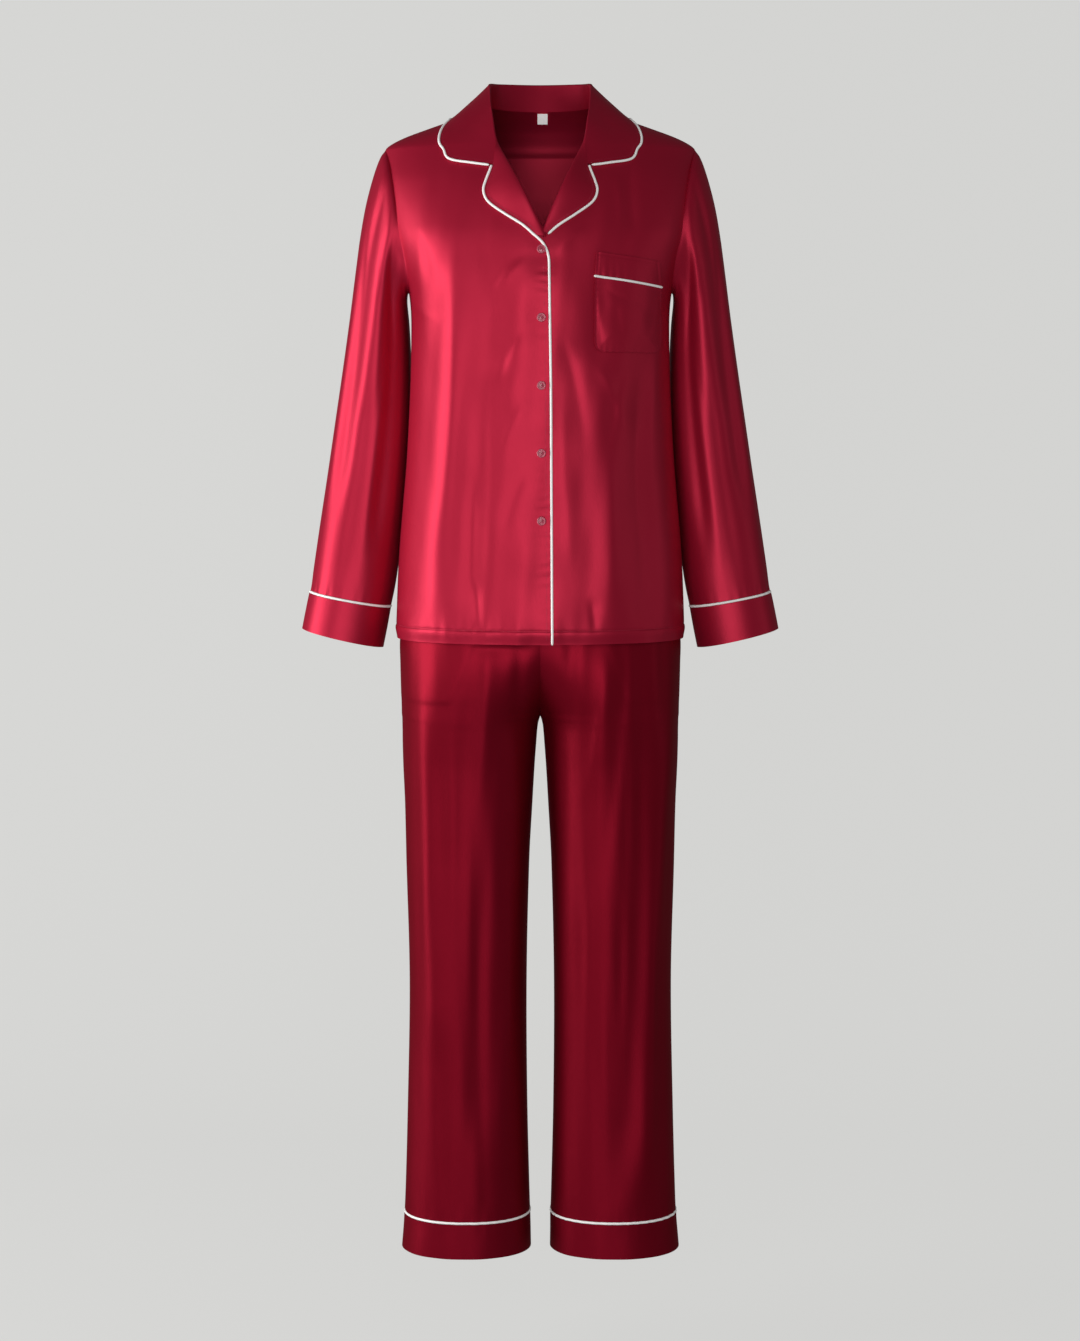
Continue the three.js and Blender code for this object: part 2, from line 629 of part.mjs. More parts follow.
function shirtBack() {
  const neck = (t) => {
    const place = neckPlace(t < 0.5 ? -1 : 1, Math.abs(t - 0.5));
    place.at.addScaledVector(place.away, -SEAM_GAP / 2);
    return place;
  };
  const top = steps(BACK_COLUMNS).map(neck);
  [top[0], top.at(-1)].forEach((place) => (place.at.y += SEAM_GAP / 2));
  const lines = panelRows(NECK_ROWS).map((row) => {
    const ends = [-1, 1].map((side) => outerEnd(side, row, 1));
    const from = ends[0].angle / DEGREE + 360;
    const to = ends[1].angle / DEGREE;
    const inside = steps(BACK_COLUMNS).slice(1, -1).map((t) => onBody(mix(from, to, t) * DEGREE, row.z));
    return [ends[0], ...inside, ends[1]];
  });
  add("shirt_back", wallOf([top, ...lines]), RED);
}

// A wall through lines of places that know their own normals.
function wallOf(lines, options = {}) {
  const points = lines.map((line) => line.map((place) => place.at));
  const normals = lines.map((line) => line.map((place) => place.normal));
  return wall(points, { ...options, normals });
}

// The inner end of a front's row: on the neck seam, the roll line or the front edge.
function innerEnd(side, row) {
  if (row.z > SHOULDER_Z) {
    const place = neckPlace(side, neckShare(row.z));
    place.at.addScaledVector(place.away, -SEAM_GAP / 2);
    return { ...place, angle: angleAt(side * neckSeam(row.z), row.z) };
  }
  const out = frontEdge[side](row.z);
  return { ...onFront(side, out, row.z), angle: angleAt(side * out, row.z) };
}

function shirtFront(side, name) {
  const lines = panelRows(NECK_ROWS).map((row) => {
    const [first, last] = [innerEnd(side, row), outerEnd(side, row, -1)];
    const inside = steps(FRONT_COLUMNS).slice(1, -1).map((t) => {
      const angle = mix(first.angle, last.angle, t);
      return onBody(angle, row.z, rise(side, side * bodyForm(angle, row.z).x));
    });
    return [first, ...inside, last];
  });
  add(name, wallOf(lines), RED);
}

// A ring of the sleeve or its cuff from a table row. Turn 0 is on the outer line and a quarter turn is the
// front.
function sleeveRing(side, row, length) {
  return ringTurns(SLEEVE_AROUND).map((turn) => {
    const power = 2 / SLEEVE_ROUND;
    const c = Math.sign(Math.cos(turn)) * Math.abs(Math.cos(turn)) ** power;
    const s = Math.sign(Math.sin(turn)) * Math.abs(Math.sin(turn)) ** power;
    const outer = new THREE.Vector3(side * row.outX, row.mid, row.outZ);
    const inner = new THREE.Vector3(side * row.inX, row.mid, row.inZ);
    const point = between(inner, outer, (1 + c) / 2);
    point.y -= (s > 0 ? row.front : row.back) * s;
    const folds = SLEEVE_FOLDS.reduce(
      (sum, fold) =>
        sum + foldHeight(fold, turn / DEGREE, (length - fold.start) / (fold.end - fold.start)),
      0,
    );
    const radial = point.clone().sub(between(inner, outer, 0.5)).normalize();
    point.addScaledVector(radial, folds);
    return row.tube === 1 ? point : between(sleeveStart(side, turn).at, point, row.tube);
  });
}

function ringTurns(count) {
  return Array.from({ length: count }, (_, j) => (j / count) * 2 * Math.PI);
}

// Where the sleeve starts: past the gap of the armhole seam.
function sleeveStart(side, turn) {
  const seam = armhole(side, turn);
  seam.at.addScaledVector(seam.outward, SEAM_GAP / 2);
  return seam;
}

function sleeve(side, name) {
  const start = ringTurns(SLEEVE_AROUND).map((turn) => sleeveStart(side, turn));
  const rings = [
    start.map((place) => place.at),
    ...SLEEVE.map((row, i) => sleeveRing(side, row, (i + 1) / SLEEVE.length)),
  ];
  const normals = gridNormals(rings, true);
  const outward = Math.sign(normals[2][0].x * side);
  normals.forEach((row) => row.forEach((normal) => normal.multiplyScalar(outward)));
  normals[0] = start.map((place) => place.normal);
  add(name, wall(rings, { normals, ring: true }), RED);
}

function cuff(side, name) {
  add(name, wall(CUFF.map((row) => sleeveRing(side, row, 1)), { ring: true }), RED);
}

// A piping ring halfway between two rings of points.
function seamPiping(above, below) {
  const middle = above.map((point, j) => between(point, below[j], 0.5));
  const sum = middle.reduce((total, point) => total.clone().add(point), new THREE.Vector3());
  const centre = sum.divideScalar(middle.length);
  return piping(middle.map((at) => ({ at, normal: at.clone().sub(centre).normalize() })), true);
}

function cuffPiping(side, name) {
  add(name, seamPiping(sleeveRing(side, SLEEVE.at(-1), 1), sleeveRing(side, CUFF[0], 1)), WHITE);
}

// A turned section of cloth: up from its seam, over the roll and down to its edge, clear of the body below.
function turned(seam, top, out, edge, side) {
  const along = top.clone().sub(seam);
  const up = along.addScaledVector(out, -along.dot(out)).normalize();
  const centre = top.clone().addScaledVector(up, -ROLL.radius);
  const before = centre.clone().addScaledVector(out, -ROLL.radius);
  const after = centre.clone().addScaledVector(out, ROLL.radius);
  const fall = FALL_SHARES.map((t) => clearOfBody(between(after, edge, t), LAID, side));
  return [seam, between(seam, before, 0.5), before, top, after, ...fall, edge];
}

// The lapel's section at a share of the roll line.
function lapelSection(side, r) {
  const z = mix(SHOULDER_Z, BREAK_Z, r);
  const { at, normal } = onFront(side, frontEdge[side](z), z);
  const tangent = onFront(side, frontEdge[side](z - 1), z - 1).at.sub(at);
  const inward = normal.clone().cross(tangent).normalize();
  if (inward.x * side > 0) inward.negate();
  const lifted = Math.sin(Math.PI * r) ** 2;
  const seam = at.clone().addScaledVector(inward, ROLL.start + LIFTED.start * lifted);
  const high = ROLL.rise + LIFTED.high * lifted;
  const top = at.clone().addScaledVector(inward, ROLL.reach).addScaledVector(normal, high);
  const edge = onFront(side, lapel.out(r), lapel.z(r), LAID).at;
  return { points: turned(seam, top, normal, edge, side), normal };
}

// Moves a section's points to one side of the gorge, square to its line, where the collar meets the lapel.
function pastGorge({ points, normal }, side, way) {
  const across = points.at(-1).clone().sub(points[ROLL.top]).cross(normal).normalize();
  if (across.x * side < 0) across.negate();
  return points.map((point) => point.clone().addScaledVector(across, (way * GORGE_GAP) / 2));
}

function collarSection(side, s) {
  if (s === 1) {
    const section = lapelSection(side, 0);
    return { points: pastGorge(section, side, 1), normal: section.normal };
  }
  const place = neckPlace(side, s);
  const seam = place.at.clone().addScaledVector(place.away, SEAM_GAP / 2);
  const top = new THREE.Vector3(side * collar.rollX(s), collar.rollY(s), collar.rollZ(s));
  const edge = onBody(side * collar.edgeTurn(s) * DEGREE, collar.edgeZ(s), LAID).at;
  return { points: turned(seam, top, place.out, edge, 0), normal: place.normal };
}

const frontShares = [...NECK_ROWS.map(neckShare), ...COLLAR_ROWS, 1].sort((a, b) => a - b);
const collarShares = [...steps(BACK_COLUMNS / 2).map((t) => t / 2), ...frontShares];

function collarPiece() {
  const half = (side) => collarShares.map((s) => collarSection(side, s));
  const lines = [...half(-1).reverse(), ...half(1).slice(1)];
  const points = lines.map((line) => line.points);
  const normals = facing(gridNormals(points, false), collarShares.length, 6, new THREE.Vector3(0, 1, 0));
  for (const [i, side, end] of [[0, UPPER_SIDE, 1], [lines.length - 1, UNDER_SIDE, UNDER_LAPEL_END]]) {
    normals[i] = facing([gridNormals(lapelRows(side, end), false)[0]], 0, 6, normals[i][6])[0];
  }
  lines.forEach((line, i) => {
    const inner = line.normal.clone().negate();
    normals[i][0] = inner.dot(normals[i][1]) > 0 ? inner : line.normal;
  });
  add("collar", wall(points, { normals }), RED);
}

// Turns all normals over if the one at the given cell faces away.
function facing(normals, i, j, way) {
  const sign = normals[i][j].dot(way) > 0 ? 1 : -1;
  return normals.map((row) => row.map((normal) => normal.clone().multiplyScalar(sign)));
}

function lapelShares(end) {
  return steps(LAPEL_ROWS).map((t) => t * end);
}

// A lapel's sections, from the gorge down.
function lapelRows(side, end) {
  return lapelShares(end).map((r) => lapelSection(side, r).points);
}

function lapelPiece(side, end, name) {
  const lines = lapelRows(side, end);
  lines[0] = pastGorge(lapelSection(side, 0), side, -1);
  add(name, wall(lines, { fan: true }), RED);
}

// The piping beyond an edge: each place is moved outward, square to the edge's run.
function edgePath(places, away) {
  return places.map(({ at, normal }, i) => {
    const run = places[Math.min(i + 1, places.length - 1)].at.clone().sub(places[Math.max(i - 1, 0)].at);
    const out = run.cross(normal).normalize();
    if (out.dot(away(at)) < 0) out.negate();
    return { at: at.clone().addScaledVector(out, PIPE_SET), normal };
  });
}

function collarPiping() {
  const edgeAt = (side, s) => onBody(side * collar.edgeTurn(s) * DEGREE, collar.edgeZ(s), PIPE_LAID);
  const shares = [...collarShares.slice(0, -1), COLLAR_END_ROW, NOTCH_STOP.collar];
  const half = (side) => shares.map((s) => edgeAt(side, s));
  const places = [...half(-1).reverse(), ...half(1).slice(1)];
  const neck = new THREE.Vector3(0, -20, 80);
  add("piping_collar", piping(edgePath(places, (at) => at.clone().sub(neck))), WHITE);
}

function lapelEdge(side, end) {
  const shares = [NOTCH_STOP.lapel, ...lapelShares(end).slice(1)];
  const places = shares.map((r) => onFront(side, lapel.out(r), lapel.z(r), PIPE_LAID));
  return edgePath(places, () => new THREE.Vector3(side, 0, -0.5));
}

function frontPiping() {
  const crossing = CROSSING.map(({ out, z, over }) => onBody(angleAt(-out, z), z, over));
  const heights = [...armRows, ...LOWER_ROWS].filter((z) => z < CROSSING.at(-1).z - 5);
  const places = heights.map((z) => onFront(UPPER_SIDE, frontEdge[UPPER_SIDE](z), z));
  const edge = edgePath(places, () => new THREE.Vector3(1, 0, 0));
  add("piping_front", piping([...lapelEdge(UPPER_SIDE, 1), ...crossing, ...edge]), WHITE);
}

function lapelPiping() {
  add("piping_lapel_left", piping(lapelEdge(UNDER_SIDE, UNDER_LAPEL_END)), WHITE);
}

// The height of the pocket's piped seam by distance out.
function pocketSeamZ(out) {
  return mix(POCKET.topInner, POCKET.topOuter, (out - POCKET.inner) / (POCKET.outer - POCKET.inner));
}

function pocketPlace(out, z, over = LAID) {
  return onFront(UNDER_SIDE, out, z, over);
}

function pocketPiece() {
  const lines = steps(POCKET.rows).map((v) =>
    steps(POCKET.columns).map((u) => {
      const plain = mix(POCKET.inner + POCKET.inset, POCKET.outer - POCKET.inset, u);
      const z = mix(pocketSeamZ(plain) - PIPE_SET, POCKET.foot, v);
      const low = Math.max(POCKET.foot + POCKET.corner - z, 0);
      const tuck = POCKET.tuck * (POCKET.corner - Math.sqrt(Math.max(POCKET.corner ** 2 - low ** 2, 0)));
      const inner = POCKET.inner + POCKET.inset + tuck;
      const outer = POCKET.outer - POCKET.inset - tuck;
      return pocketPlace(mix(inner, outer, u), z);
    }),
  );
  add("pocket", wallOf(lines), RED);
}

function pocketBand() {
  const lines = steps(POCKET_BAND.rows).map((v) =>
    steps(POCKET.columns).map((u) => {
      const inset = mix(POCKET.inset, POCKET_BAND.inset, v);
      const out = mix(POCKET.inner + inset, POCKET.outer - inset, u);
      return pocketPlace(out, pocketSeamZ(out) + mix(PIPE_SET, POCKET_BAND.height, v));
    }),
  );
  add("pocket_band", wallOf(lines), RED);
}

function pocketPiping() {
  const path = steps(POCKET.columns).map((u) => {
    const out = mix(POCKET.inner, POCKET.outer, u);
    return pocketPlace(out, pocketSeamZ(out), PIPE_LAID);
  });
  add("piping_pocket", piping(path), WHITE);
}

function neckLabel() {
  const under = -(WALL + LABEL.thick) / 2 - LABEL.gap;
  const lines = steps(LABEL.cells).map((v) =>
    steps(LABEL.cells).map((u) => {
      const z = NECK_Z - LABEL.top - v * LABEL.height;
      const x = LABEL.x + (u - 0.5) * LABEL.width;
      return onBody(Math.PI - angleAt(x, z), z, under);
    }),
  );
  add("neck_label", wallOf(lines, { thick: LABEL.thick }), WHITE);
}

function solidOf(geometry) {
  const merged = mergeVertices(geometry, 1e-4);
  return new wasm.Manifold(
    new wasm.Mesh({
      numProp: 3,
      vertProperties: new Float32Array(merged.getAttribute("position").array),
      triVerts: new Uint32Array(merged.index.array),
    }),
  );
}

function geometryOf(solid) {
  const mesh = solid.getMesh();
  return closedGeometry([...mesh.vertProperties], [...mesh.triVerts]);
}

// A round button with a raised rim and four holes, standing along +Z.
function buttonGeometry() {
  const { radius, thick, round, rim, dish, hole, holeOut } = BUTTON;
  const half = thick / 2;
  const profile = [
    [0, -half],
    [radius - round, -half],
    [radius, -half + round],
    [radius, half - round],
    [radius - round, half],
    [radius - rim, half],
    [radius - rim - dish, half - dish],
    [0, half - dish],
  ];
  const outline = profile.map(([x, y]) => new THREE.Vector2(x, y));
  const disc = new THREE.LatheGeometry(outline, BUTTON.segments);
  disc.deleteAttribute("normal");
  disc.deleteAttribute("uv");
  disc.rotateX(Math.PI / 2);
  const holes = [[-1, -1], [-1, 1], [1, -1], [1, 1]].map(([x, y]) =>
    wasm.Manifold.cylinder(thick * 2, hole, hole, BUTTON.holeSides, true)
      .translate([x * holeOut, y * holeOut, 0]),
  );
  return geometryOf(holes.reduce((left, cut) => left.subtract(cut), solidOf(disc)));
}

function buttons() {
  for (let k = 0; k < BUTTON.count; k += 1) {
    const z = BUTTON.top - k * BUTTON.pitch;
    const over = WALL / 2 + SEAM_GAP + BUTTON.thick / 2;
    const { at, normal } = onFront(UPPER_SIDE, -BUTTON.x, z, over);
    const geometry = buttonGeometry();
    geometry.applyQuaternion(new THREE.Quaternion().setFromUnitVectors(new THREE.Vector3(0, 0, 1), normal));
    geometry.translate(...at.toArray());
    add(`button_${k + 1}`, geometry, RED_BUTTON);
  }
}

// A leg's surface before its folds. Angles are signed like the body's.
function legForm(side) {
  return (angle, z) =>
    sectionPoint(angle, side * leg.centre(z), leg.half(z), leg.front(z), leg.back(z), leg.round(z), z);
}

function legMiddle(side) {
  const form = legForm(side);
  const own = LEG_FOLDS.filter((fold) => fold.side === side);
  return (angle, z) => {
    const folds = hungFolds(own, side * angle, z);
    const point = form(angle, z);
    return folds === 0 ? point : point.addScaledVector(normalOf(form, angle, z), folds);
  };
}

// The angle of a leg's inner seam, from 0 at the waist to a quarter turn at the crotch and below.
function innerAngle(z) {
  if (z <= CROTCH_Z) return -Math.PI / 2;
  const share = Math.min(Math.max(leg.centre(z) / leg.half(z), 0), 1);
  return -Math.asin(share ** (leg.round(z) / 2));
}

// One quarter of the trousers. Way is -1 for a front and 1 for a back.
function trouserPanel(side, way, name) {
  const surface = legMiddle(side);
  const lines = LEG_ROWS.map((z) => {
    const inner = innerAngle(z);
    const from = way < 0 ? inner : Math.PI - inner;
    return steps(LEG_COLUMNS).map((t) => {
      const angle = side * mix(from, Math.PI / 2, t);
      const at = surface(angle, z);
      const normal = normalOf(surface, angle, z);
      const onRise = t === 0 && z >= CROTCH_Z;
      if (onRise) {
        at.x = (side * SEAM_GAP) / 2;
        normal.x = 0;
        const slant = Math.max(normal.length(), STEEPEST_RISE);
        normal.normalize().divideScalar(slant);
        if (z === CROTCH_Z) normal.set(0, 0, -1);
      }
      const onSeam = t === 1 || (t === 0 && z <= CROTCH_Z);
      if (onSeam) at.y = (way * SEAM_GAP) / 2;
      return { at, normal };
    });
  });
  add(name, wallOf(lines), RED);
}

function waistband() {
  const heights = [WAIST_TOP_Z, (WAIST_TOP_Z + WAIST_SEAM_Z) / 2, WAIST_SEAM_Z + SEAM_GAP / 2];
  const rings = heights.map((z) => ringTurns(WAIST_AROUND).map((angle) => legForm(1)(angle, z)));
  add("waistband", wall(rings, { ring: true, thick: BAND_WALL }), RED);
}

function legRing(side, z) {
  return ringTurns(CUFF_AROUND).map((angle) => legMiddle(side)(angle, z));
}

function legCuff(side, name) {
  const heights = [LEG_PIPING_Z - PIPE_SET, (LEG_PIPING_Z + LEG_HEM_Z) / 2, LEG_HEM_Z];
  add(name, wall(heights.map((z) => legRing(side, z)), { ring: true }), RED);
}

function legPiping(side, name) {
  const above = legRing(side, LEG_PIPING_Z + PIPE_SET);
  const below = legRing(side, LEG_PIPING_Z - PIPE_SET);
  add(name, seamPiping(above, below), WHITE);
}

shirtBack();
shirtFront(UPPER_SIDE, "shirt_front_right");
shirtFront(UNDER_SIDE, "shirt_front_left");
collarPiece();
lapelPiece(UPPER_SIDE, 1, "lapel_right");
lapelPiece(UNDER_SIDE, UNDER_LAPEL_END, "lapel_left");
pocketPiece();
pocketBand();
neckLabel();
buttons();
collarPiping();
frontPiping();
lapelPiping();
pocketPiping();
for (const [side, word] of [[-1, "right"], [1, "left"]]) {
  sleeve(side, `sleeve_${word}`);
  cuff(side, `cuff_${word}`);
  cuffPiping(side, `piping_cuff_${word}`);
  trouserPanel(side, -1, `trouser_front_${word}`);
  trouserPanel(side, 1, `trouser_back_${word}`);
  legCuff(side, `leg_cuff_${word}`);
  legPiping(side, `piping_leg_${word}`);
}
waistband();

export default root;
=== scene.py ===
import math

import bpy
import numpy as np
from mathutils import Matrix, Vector


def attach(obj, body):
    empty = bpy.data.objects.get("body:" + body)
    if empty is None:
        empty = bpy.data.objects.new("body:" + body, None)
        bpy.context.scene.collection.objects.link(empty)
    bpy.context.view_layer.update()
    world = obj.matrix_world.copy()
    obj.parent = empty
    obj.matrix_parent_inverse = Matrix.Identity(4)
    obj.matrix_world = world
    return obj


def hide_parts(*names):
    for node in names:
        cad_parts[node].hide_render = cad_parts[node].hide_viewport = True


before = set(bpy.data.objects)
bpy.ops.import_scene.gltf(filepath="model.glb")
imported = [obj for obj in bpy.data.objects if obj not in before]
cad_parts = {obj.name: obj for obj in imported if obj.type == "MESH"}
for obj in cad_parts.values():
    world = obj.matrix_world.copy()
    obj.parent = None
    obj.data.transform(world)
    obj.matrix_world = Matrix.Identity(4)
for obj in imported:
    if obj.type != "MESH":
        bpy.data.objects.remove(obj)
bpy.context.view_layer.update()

# A piped satin pyjama set in its worn form with nobody in it. Every surface is worked out in the
# model's own millimetres, as in the CAD source, and becomes a thin closed shell in metres.
MM = 0.001
DEG = math.pi / 180
UPPER, UNDER = -1, 1
# Edges that turn more than this stay crisp
SHARP = 60 * DEG

# Cloth and piping
THIN = 0.8
BAND = 2.0
CUFF_WALL = 1.6
POCKET_BAND_WALL = 1.3
GAP = 0.14
PIPE_RADIUS = 1.6
PIPE_SET = PIPE_RADIUS + 0.25
LAID = 2.5
PIPE_LAID = 3.0
# How gently turned cloth comes to lie on the body
SOFTEN = 1.2

# Heights
NECK_Z = 44
SHOULDER_Z = -14
UNDERARM_Z = -200
BREAK_Z = -135.74
SHIRT_HEM_Z = -645
WAIST_TOP_Z = -455
WAIST_SEAM_Z = -487
CROTCH_Z = -749
LEG_PIPING_Z = -1389
LEG_HEM_Z = -1434.5

# Stitches: how far the rows lie from the hem, the front edge and a turned edge, and one stitch's form
HEM_STITCH = 17
PLACKET_STITCH = 5
EDGE_STITCH = 4.2
STITCH = {"pitch": 2.6, "length": 1.9, "radius": 0.26, "sink": 0.05, "sides": 5}
# A stitch's sections: the place along it and the share of its radius
STITCH_SHAPE = ((-0.5, 0.25), (-0.3, 1), (0.3, 1), (0.5, 0.25))
# Relief as fine as threads, in metres
FINE_RELIEF = 0.0002

SMOOTHING_ROUNDS = 3

# Camera: the photo's plane through the shoulders, in millimetres per pixel, and the level line in it
PHOTO = {
    "wide": 1080, "high": 1341, "mm_per_px": 1.3, "centre_x": 540.3, "origin_y": 140, "horizon_y": 420,
}
CAMERA_AWAY = 3300
SENSOR = 36
# The floor's height, how far back the wall stands, its curve at the foot, half width and top, in metres
BACKDROP = {"floor": -1.58, "far": 1.9, "turn": 0.9, "half": 9.0, "top": 5.5, "steps": 12}
# Lights in metres and watts: name, place, aim, size and power
LIGHTS = [
    ("key", (-2.33, -0.56, -0.42), (0, 0, -0.5), (1.3, 1.9), 56),
    ("front", (-0.4, -3.15, -0.5), (0, 0, -0.5), (1.8, 2.4), 50),
    ("rim", (2.2, -0.6, -0.5), (0, 0, -0.6), (0.5, 2.0), 2.5),
]
ALL_ROUND_LIGHT = 0.12

# How finely each kind of piece is divided
BACK_COLUMNS = 118
FRONT_COLUMNS = 96
ARM_ROWS = 64
LOWER_ROWS = 118
SLEEVE_AROUND = 112
FRONT_LEG_COLUMNS = 60
BACK_LEG_COLUMNS = 44
LEG_CUFF_AROUND = 120
WAIST_AROUND = 300
PIPING_AROUND = 160
# Steps that measure which way a surface, the armhole and the neck seam run
TURN_STEP = 0.01
RISE_STEP = 0.8
ARM_STEP = 0.02
NECK_STEP = 0.01

# Rough radii that turn an angle into a run along the cloth, and a sleeve's length
BODY_RADIUS = 170
WAIST_RADIUS = 110
LEG_RADIUS = 70
SLEEVE_RADIUS = 60
CUFF_RADIUS = 60
SLEEVE_LENGTH = 600

# Puckers beside a sewn line: how far they reach, their pitch, height and seed
PUCKERS = {
    "shirt_hem": (9, 15, 0.4, 1),
    "front_edge": (9, 16, 0.35, 2),
    "placket": (9, 12, 0.35, 12),
    "above_cuff": (14, 14, 0.8, 4),
    "sleeve_head": (16, 13, 0.7, 6),
    "pocket": (5, 9, 0.3, 9),
    "pocket_band": (9, 11, 0.3, 3),
    "below_waist": (60, 13, 1.3, 3),
    "waistband": (30, 13, 1.3, 3),
    "waistband_fine": (30, 7, 0.5, 8),
}
# The same beside each leg's piping, where the side makes the seed
LEG_PUCKER = (10, 12, 0.5)
LEG_PUCKER_SEED = 5
# Soft unevenness: its size across and along, height and seed
RIPPLES = {
    "body": (70, 240, 1.0, 3),
    "body_fine": (34, 150, 0.35, 8),
    "shirt_hem": (60, 90, 1.2, 5),
    "sleeve": (60, 300, 0.9, 21),
    "cuff": (50, 80, 0.6, 17),
    "leg": (46, 420, 0.9, 31),
    "leg_fine": (24, 260, 0.35, 37),
    "leg_cuff": (40, 60, 0.8, 41),
}


# Curves through short tables

def curves(keys, rows):
    """Smooth curves through a table's columns, by its first column."""
    table = np.array(sorted(rows), float)
    at = table[:, 0]
    made = {}
    for column, key in enumerate(keys[1:], 1):
        made[key] = _curve(at, table[:, column])
    return made


def _curve(at, value):
    before = np.maximum(np.arange(len(at)) - 1, 0)
    after = np.minimum(np.arange(len(at)) + 1, len(at) - 1)
    slope = (value[after] - value[before]) / (at[after] - at[before])

    def evaluate(x):
        x = np.clip(x, at[0], at[-1])
        i = np.clip(np.searchsorted(at, x, side="right") - 1, 0, len(at) - 2)
        span = at[i + 1] - at[i]
        t = (x - at[i]) / span
        t2, t3 = t * t, t * t * t
        return ((2 * t3 - 3 * t2 + 1) * value[i] + (t3 - 2 * t2 + t) * span * slope[i]
                + (3 * t2 - 2 * t3) * value[i + 1] + (t3 - t2) * span * slope[i + 1])
    return evaluate


def straight(rows):
    """Straight lines through a table of two columns."""
    table = np.array(sorted(rows), float)
    return lambda x: np.interp(x, table[:, 0], table[:, 1])


def mix(a, b, t):
    return a + (b - a) * t


def ease(t):
    t = np.clip(t, 0, 1)
    return t * t * (3 - 2 * t)


def unit(v):
    return v / np.maximum(np.linalg.norm(v, axis=-1, keepdims=True), 1e-9)


def dot(a, b):
    return (a * b).sum(-1, keepdims=True)


def around(count):
    return np.arange(count) / count * 2 * math.pi


def summed(steps):
    """Running lengths, from 0 at the start."""
    return np.concatenate([[0], np.cumsum(steps)])


def lengths_along(points):
    return summed(np.linalg.norm(np.diff(points, axis=0), axis=1))


def sampled(at, run, rows):
    """The rows' values at places along their run."""
    return np.stack([np.interp(at, run, rows[:, k]) for k in range(3)], -1)


def circles(across, out, turn):
    """Unit circles spanned by two ways, with a point at each turn."""
    cos, sin = np.cos(turn)[:, None], np.sin(turn)[:, None]
    return across[..., None, :] * cos + out[..., None, :] * sin


# Shirt body: half width, depth to the front and back of the shoulder plane, and the section's roundness
BODY_KEYS = ("z", "half", "front", "back", "round")
BODY = [
    (44, 68, 12, 66, 2.0),
    (33.5, 92, 30, 82, 1.85),
    (23, 119, 46, 93, 1.78),
    (13, 147, 58, 99, 1.72),
    (2.6, 175, 68, 104, 1.68),
    (-7, 194, 75, 107, 1.68),
    (-14, 201, 80, 110, 1.7),
    (-60, 205, 104, 118, 2.0),
    (-120, 199, 126, 122, 2.2),
    (-160, 184, 134, 123, 2.25),
    (-200, 170, 138, 122, 2.3),
    (-260, 167, 138, 119, 2.3),
    (-400, 172, 133, 117, 2.3),
    (-540, 183, 131, 120, 2.3),
    (-645, 187, 130, 123, 2.3),
]
# Soft folds of the body: top, bottom, angle at each, width, depth
BODY_FOLDS = [
    (-120, -660, -38, -44, 9, 4.0),
    (-170, -660, -24, -22, 8, -3.0),
    (-60, -330, -26, -14, 7, -2.6),
    (-40, -300, 34, 20, 8, -2.6),
    (-250, -660, 20, 27, 8, 3.6),
    (-230, -660, 48, 46, 9, -3.6),
    (-60, -660, 140, 132, 10, 3.8),
    (-60, -660, -142, -130, 9, 3.4),
    (-150, -660, 166, 160, 9, -3.4),
    (-110, -660, -164, -172, 10, -3.2),
]
NECK_SEAM = [(44, 68), (30, 68), (16, 66), (2, 62.5), (-14, 57.5)]
FRONT_EDGE = {
    UPPER: straight([(SHOULDER_Z, 57.5), (BREAK_Z, -3), (-162, -9), (-320, -11.3), (SHIRT_HEM_Z, -13)]),
    UNDER: straight([(SHOULDER_Z, 57.5), (BREAK_Z, 2.5), (-162, -9), (SHIRT_HEM_Z, -13)]),
}
OVERLAP = {"low": 18, "high": 55, "lift": 2.9}
ARMHOLE = {"front": 26, "back": 25, "power": 0.9}

# Creases of the front, seen from in front: x and z at each end, bow, width, depth
FRONT_CREASES = [
    (-150, -60, -128, -330, 10, 13, 1.5),
    (-112, -150, -134, -560, -14, 12, 2.2),
    (-92, -260, -112, -640, 6, 13, -1.6),
    (-60, -300, -76, -650, -6, 15, 1.3),
    (-83, -420, -86, -650, 4, 11, -2.0),
    (-12, -240, -60, -330, 6, 8, -1.1),
    (-10, -158, -66, -218, 5, 8, 1.1),
    (-10, -330, -52, -425, 6, 8, 1.0),
    (-10, -415, -48, -520, 6, 9, -1.1),
    (16, -160, 60, -120, -4, 9, 1.2),
    (22, -250, 52, -420, -10, 10, -1.5),
    (30, -310, 48, -600, 8, 11, 1.4),
    (66, -292, 108, -400, -10, 10, 1.7),
    (112, -286, 84, -430, 8, 10, -1.6),
    (84, -400, 78, -640, -8, 13, 1.8),
    (126, -300, 132, -600, 6, 12, -1.6),
    (150, -240, 146, -520, 5, 10, 1.4),
    (118, -20, 126, -150, 8, 10, -1.5),
    (92, -50, 100, -140, -6, 9, 1.2),
    (-160, -120, -140, -200, -6, 9, -1.4),
    (-168, -205, -120, -240, 5, 8, 1.4),
    (168, -205, 128, -250, -5, 8, -1.4),
    (-78, -632, -84, -560, 0, 6, -1.6),
    (68, -634, 64, -580, 0, 6, -1.6),
]
BACK_CREASES = [
    (-150, -40, -110, -260, 8, 13, 1.8),
    (148, -40, 118, -280, -8, 12, 1.7),
    (-60, -60, -40, -420, -10, 16, -1.8),
    (52, -90, 70, -470, 10, 15, 1.6),
    (0, -120, 8, -620, 6, 18, 1.5),
    (-120, -300, -132, -645, 8, 12, 1.8),
    (120, -320, 126, -645, -8, 13, -1.8),
]

